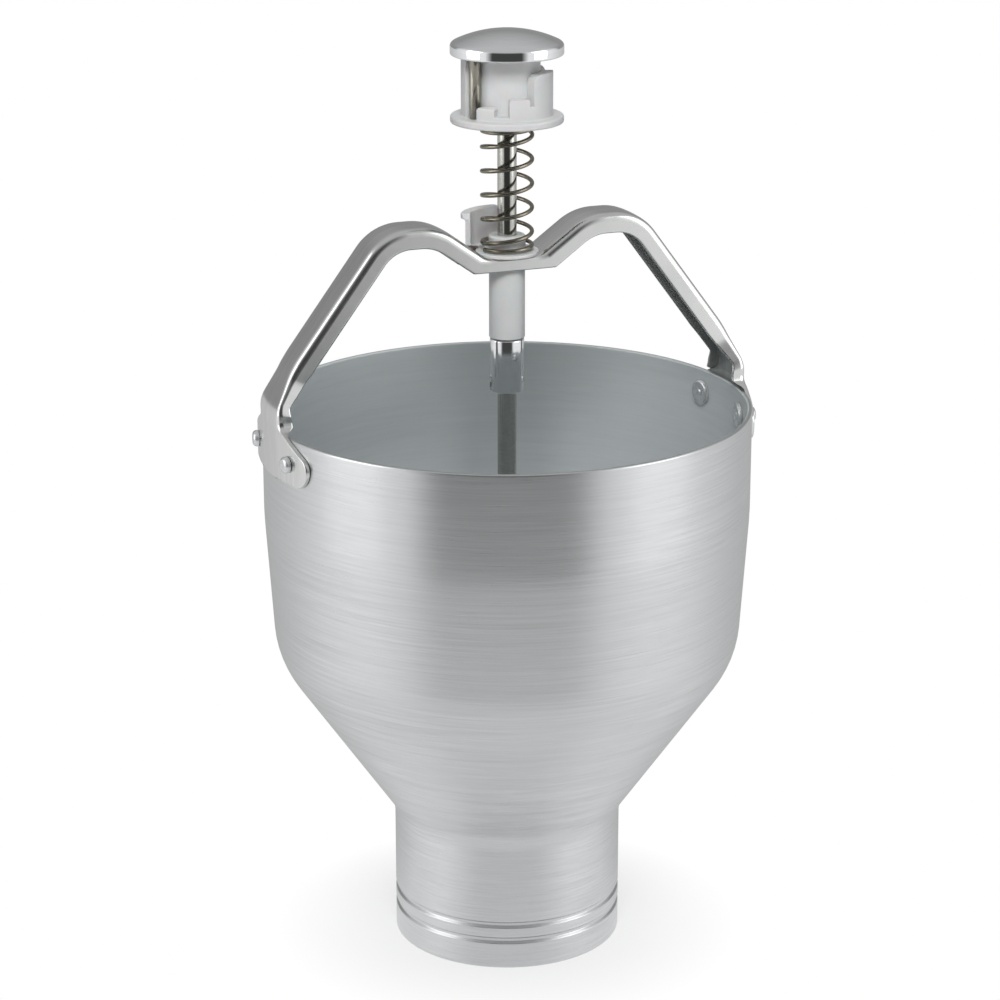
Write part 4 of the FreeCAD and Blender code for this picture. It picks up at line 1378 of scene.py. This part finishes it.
@dataclass
class Knob:
    """Domed push knob."""

    finishes: Finishes
    side: float = 4.7
    dome: float = 5.5
    top_rounding: float = 1.4
    low_rounding: float = 0.8
    corner_gap: float = 0.12
    side_share: float = 0.9
    side_gap: float = 0.3
    edge_steps: int = 8
    dome_steps: int = 24
    segments: int = 160

    def dome_outline(self) -> list[Point2]:
        """Outline of the knob from its underside's middle to its apex.

        Returns:
            The outline as (radius, z) points.
        """
        low, radius = node_low("knob"), node_radius("knob")
        sphere = (radius ** 2 + self.dome ** 2) / (2 * self.dome)
        centre = low + self.side + self.dome - sphere
        lower = rounded([(0.0, low, 0.0), (radius, low, self.low_rounding), (radius, low + self.side, 0.0)],
                        Span.OPEN, steps=6, support=0.3)
        edge_angle = asin((radius - self.top_rounding) / sphere)
        side_top = low + self.side - self.top_rounding * self.side_share
        edge = Vector((sphere * sin(edge_angle), centre + sphere * cos(edge_angle)))
        outline = [p for p in lower if p[1] < side_top - self.side_gap]
        start, corner = Vector((radius, side_top)), Vector((radius, low + self.side - self.corner_gap))
        for step in range(self.edge_steps + 1):
            share = step / self.edge_steps
            outline.append(tuple(start.lerp(corner, share).lerp(corner.lerp(edge, share), share)))
        angles = [edge_angle * (1 - k / self.dome_steps) for k in range(1, self.dome_steps + 1)]
        return outline + [(sphere * sin(angle), centre + sphere * cos(angle)) for angle in angles]

    def build(self) -> Object:
        """Turn the knob.

        Returns:
            The knob.
        """
        piece = Mesher.lathe("knob_cap", self.dome_outline(), self.segments, Span.OPEN)
        piece.data.materials.append(self.finishes.chrome)
        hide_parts("knob")
        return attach(piece, "plunger")


class Plain:
    """Pieces whose CAD shape is right: merged, shaded smooth and given their finish."""

    def __init__(self, finishes: Finishes) -> None:
        """Pair each node with its finish and slot.

        Args:
            finishes: the materials.
        """
        steel, nylon = (finishes.rod, "rod_steel"), (finishes.nylon, "white_nylon")
        small, chrome = (finishes.rivet, "rivet_steel"), (finishes.chrome, "chrome_knob")
        rubber, pin = (finishes.rubber, "seal_rubber"), (finishes.pin, "rod_steel")
        self.dress = {
            "portion_cylinder": (finishes.machined, "machined_aluminium"), "cylinder_seal": rubber,
            "guide_sleeve": nylon, "spring_washer": small, "knob_sleeve": nylon, "index_pin": pin,
            "upper_rod": steel, "coupling_sleeve": chrome, "coupling_pin": small, "lower_rod": steel,
            "bayonet_pin": small, "piston": nylon, "piston_seal": rubber, "spacer_tube": steel,
            "cutoff_disc": nylon, "cutoff_seal": rubber, "lock_washer": small, "cap_nut": steel}

    def build(self) -> list[Object]:
        """Dress every remaining node.

        Returns:
            The new pieces.
        """
        bodies = frame["record"]["behaviour"]["bodies"]
        pieces = []
        for node, (material, slot) in self.dress.items():
            piece = Mesher.cad_copy(f"{node}_dressed", node)
            piece.data.materials.clear()
            piece.data.materials.append(material)
            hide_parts(node)
            body = next(name for name, nodes in bodies.items() if node in nodes)
            pieces.append(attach(piece, body))
        return pieces


@dataclass(frozen=True)
class Ring:
    """Brightness round the object, by the cosine of the angle from the camera's side."""

    side: float
    front: float
    front_range: Point2
    back: float
    back_range: Point2

    def tone(self, sketch: Sketch, towards: Socket) -> Socket:
        """Bright at both sides, with levels of its own at the front and the back.

        Args:
            sketch: the tree to add to.
            towards: cosine of the angle from the camera's side.

        Returns:
            The brightness.
        """
        front = sketch.ramp(towards, *self.front_range, self.side, self.front)
        back = sketch.ramp(towards, *self.back_range, self.back, self.side)
        return sketch.math("MINIMUM", front, back)


@dataclass(frozen=True)
class Softbox:
    """A rectangular lamp: degrees from the camera's side, metres, watts and what it shines on."""

    name: str
    angle: float
    distance: float
    height: float
    size: Point2
    power: float
    diffuse: bool = True
    glossy: bool = True


@dataclass
class Studio:
    """White studio: pale floor, four lamps, a room that reflections find and the camera."""

    azimuth: float = -21.0
    pitch: float = 17.672
    distance: float = 1.23189
    rise_over_rim: float = 0.35014
    focal_pixels: float = 3082.4
    axis_pixel: float = 507.0
    frame_pixels: float = 1000.0
    sensor: float = 36.0
    room: Ring = Ring(side=0.92, front=0.06, front_range=(cos(radians(44.0)), cos(radians(30.0))),
                      back=0.55, back_range=(-0.9, -0.1))
    near_floor: Ring = Ring(side=0.9, front=0.82, front_range=(0.64, 0.9),
                            back=0.55, back_range=(-0.85, 0.0))
    flag_tone: float = 0.3
    flag_range: Point2 = (-0.62, -0.36)
    ceiling_tone: float = 0.55
    ceiling_range: Point2 = (0.3, 0.8)
    floor_range: Point2 = (0.4, 1.0)
    floor_reach: float = 6.0
    floor_grey: float = 0.86
    fade_range: Point2 = (0.048, 0.10)
    fade_start: float = 0.65
    fill_light: float = 0.26
    fill_colour: Colour = (0.94, 0.97, 1.0)
    lamp_aim: float = 0.2
    softboxes: tuple[Softbox, ...] = (
        Softbox("softbox_left", angle=-72.0, distance=1.5, height=0.7, size=(0.9, 1.4), power=6.0,
                diffuse=False),
        Softbox("softbox_right", angle=72.0, distance=1.5, height=0.7, size=(0.9, 1.4), power=6.0,
                diffuse=False),
        Softbox("softbox_top", angle=180.0, distance=0.5, height=1.6, size=(1.2, 1.2), power=5.0,
                glossy=False),
        Softbox("softbox_front", angle=0.0, distance=1.2, height=1.35, size=(0.6, 0.6), power=17.0,
                glossy=False))

    def around(self, angle: float, distance: float, height: float) -> Vector:
        """Point at an angle from the camera's side of the axis, positive to the camera's right."""
        return polar(distance, self.azimuth - 90.0 + angle, height)

    def camera(self) -> Object:
        """Place the camera at the photograph's viewing angle.

        Returns:
            The camera.
        """
        data = bpy.data.cameras.new("camera")
        data.sensor_width = self.sensor
        data.lens = self.focal_pixels / self.frame_pixels * self.sensor
        data.shift_x = (self.frame_pixels / 2 - self.axis_pixel) / self.frame_pixels
        camera = add_object("camera", data)
        rim = node_high("hopper_shell") * MM
        camera.location = self.around(0.0, self.distance, rim + self.rise_over_rim)
        camera.rotation_euler = (radians(90.0 - self.pitch), 0.0, radians(self.azimuth))
        bpy.context.scene.camera = camera
        return camera

    def lamp(self, softbox: Softbox) -> Object:
        """Set a softbox up so that it faces the object.

        Args:
            softbox: its place, size and power.

        Returns:
            The lamp.
        """
        data = bpy.data.lights.new(softbox.name, "AREA")
        data.shape = "RECTANGLE"
        data.size, data.size_y = softbox.size
        data.energy = softbox.power
        lamp = add_object(softbox.name, data)
        lamp.location = self.around(softbox.angle, softbox.distance, softbox.height)
        aim = Vector((0, 0, self.lamp_aim)) - lamp.location
        lamp.rotation_euler = aim.to_track_quat("-Z", "Y").to_euler()
        lamp.visible_diffuse, lamp.visible_glossy = softbox.diffuse, softbox.glossy
        return lamp

    def towards(self, sketch: Sketch, place: Socket) -> Socket:
        """Cosine of the level angle between a direction or place and the camera's side.

        Args:
            sketch: the tree to add to.
            place: the direction or place.

        Returns:
            The cosine.
        """
        flat = sketch.add("ShaderNodeVectorMath", {0: place, 1: (1.0, 1.0, 0.0)}, operation="MULTIPLY")
        unit = sketch.add("ShaderNodeVectorMath", {0: flat.outputs[0]}, operation="NORMALIZE")
        inputs = {0: unit.outputs[0], 1: tuple(self.around(0.0, 1.0, 0.0))}
        return sketch.add("ShaderNodeVectorMath", inputs, operation="DOT_PRODUCT").outputs["Value"]

    def floor(self) -> Object:
        """Pale floor that takes the object's shadow and fades into the white background.

        Returns:
            The floor.
        """
        mesh = bpy.data.meshes.new("floor")
        reach = self.floor_reach
        corners = [(-reach, -reach, 0), (reach, -reach, 0), (reach, reach, 0), (-reach, reach, 0)]
        mesh.from_pydata(corners, [], [(0, 1, 2, 3)])
        floor = add_object("floor", mesh)
        material, sketch = new_material("pale_floor")
        place = sketch.add("ShaderNodeTexCoord").outputs["Object"]
        far = sketch.add("ShaderNodeVectorMath", {0: place}, operation="LENGTH").outputs["Value"]
        grey = self.floor_grey
        matt = sketch.add("ShaderNodeBsdfDiffuse", {"Color": (grey, grey, grey, 1)}).outputs[0]
        shown = sketch.choose(sketch.ramp(far, *self.fade_range, self.fade_start), matt, sketch.glow(1.0))
        towards = self.towards(sketch, place)
        beyond = sketch.ramp(far, *self.floor_range)
        tone = sketch.between(beyond, self.near_floor.tone(sketch, towards), self.room.tone(sketch, towards))
        path = sketch.add("ShaderNodeLightPath").outputs
        glossy = sketch.choose(path["Is Glossy Ray"], matt, sketch.glow(tone))
        sketch.end(sketch.choose(path["Is Camera Ray"], glossy, shown))
        mesh.materials.append(material)
        return floor

    def world(self) -> None:
        """White behind the object, a toned room in reflections and a softer level for light."""
        world = bpy.data.worlds.new("studio")
        bpy.context.scene.world = world
        world.use_nodes = True
        world.node_tree.nodes.clear()
        sketch = Sketch(world.node_tree)
        way = sketch.add("ShaderNodeTexCoord").outputs["Generated"]
        height = sketch.add("ShaderNodeSeparateXYZ", {0: way}).outputs[2]
        towards = self.towards(sketch, way)
        flag = sketch.ramp(towards, *self.flag_range, self.flag_tone, self.room.side)
        walls = sketch.math("MINIMUM", flag, self.room.tone(sketch, towards))
        tone = sketch.between(sketch.ramp(height, *self.ceiling_range), walls, self.ceiling_tone)
        kind = "ShaderNodeBackground"
        light = sketch.glow(self.fill_light, self.fill_colour, kind)
        path = sketch.add("ShaderNodeLightPath").outputs
        glossy = sketch.choose(path["Is Glossy Ray"], light, sketch.glow(tone, kind=kind))
        seen = sketch.math("MAXIMUM", path["Is Camera Ray"], path["Is Transmission Ray"])
        sketch.end(sketch.choose(seen, glossy, sketch.glow(1.0, kind=kind)), "ShaderNodeOutputWorld")

    def build(self) -> None:
        """Set up the camera, the world, the floor and the lamps."""
        self.camera()
        self.world()
        self.floor()
        for softbox in self.softboxes:
            self.lamp(softbox)


def main() -> None:
    """Build the studio and every piece."""
    logging.basicConfig(level=logging.INFO, format="%(name)s: %(message)s")
    bpy.context.scene.view_settings.view_transform = "Standard"
    Studio().build()
    finishes = Finishes()
    press = next(joint for joint in frame["joints"] if joint["name"] == "plunger_press")
    stroke = press["range_m"][1] / MM
    pieces = [Hopper(finishes).build(), Handle(finishes).build(), Rivets(finishes).build(),
              Spring(finishes).build(stroke), Bush(finishes).build(), Dial(finishes).build(),
              Knob(finishes).build(), *Plain(finishes).build()]


if __name__ == "__main__":
    main()
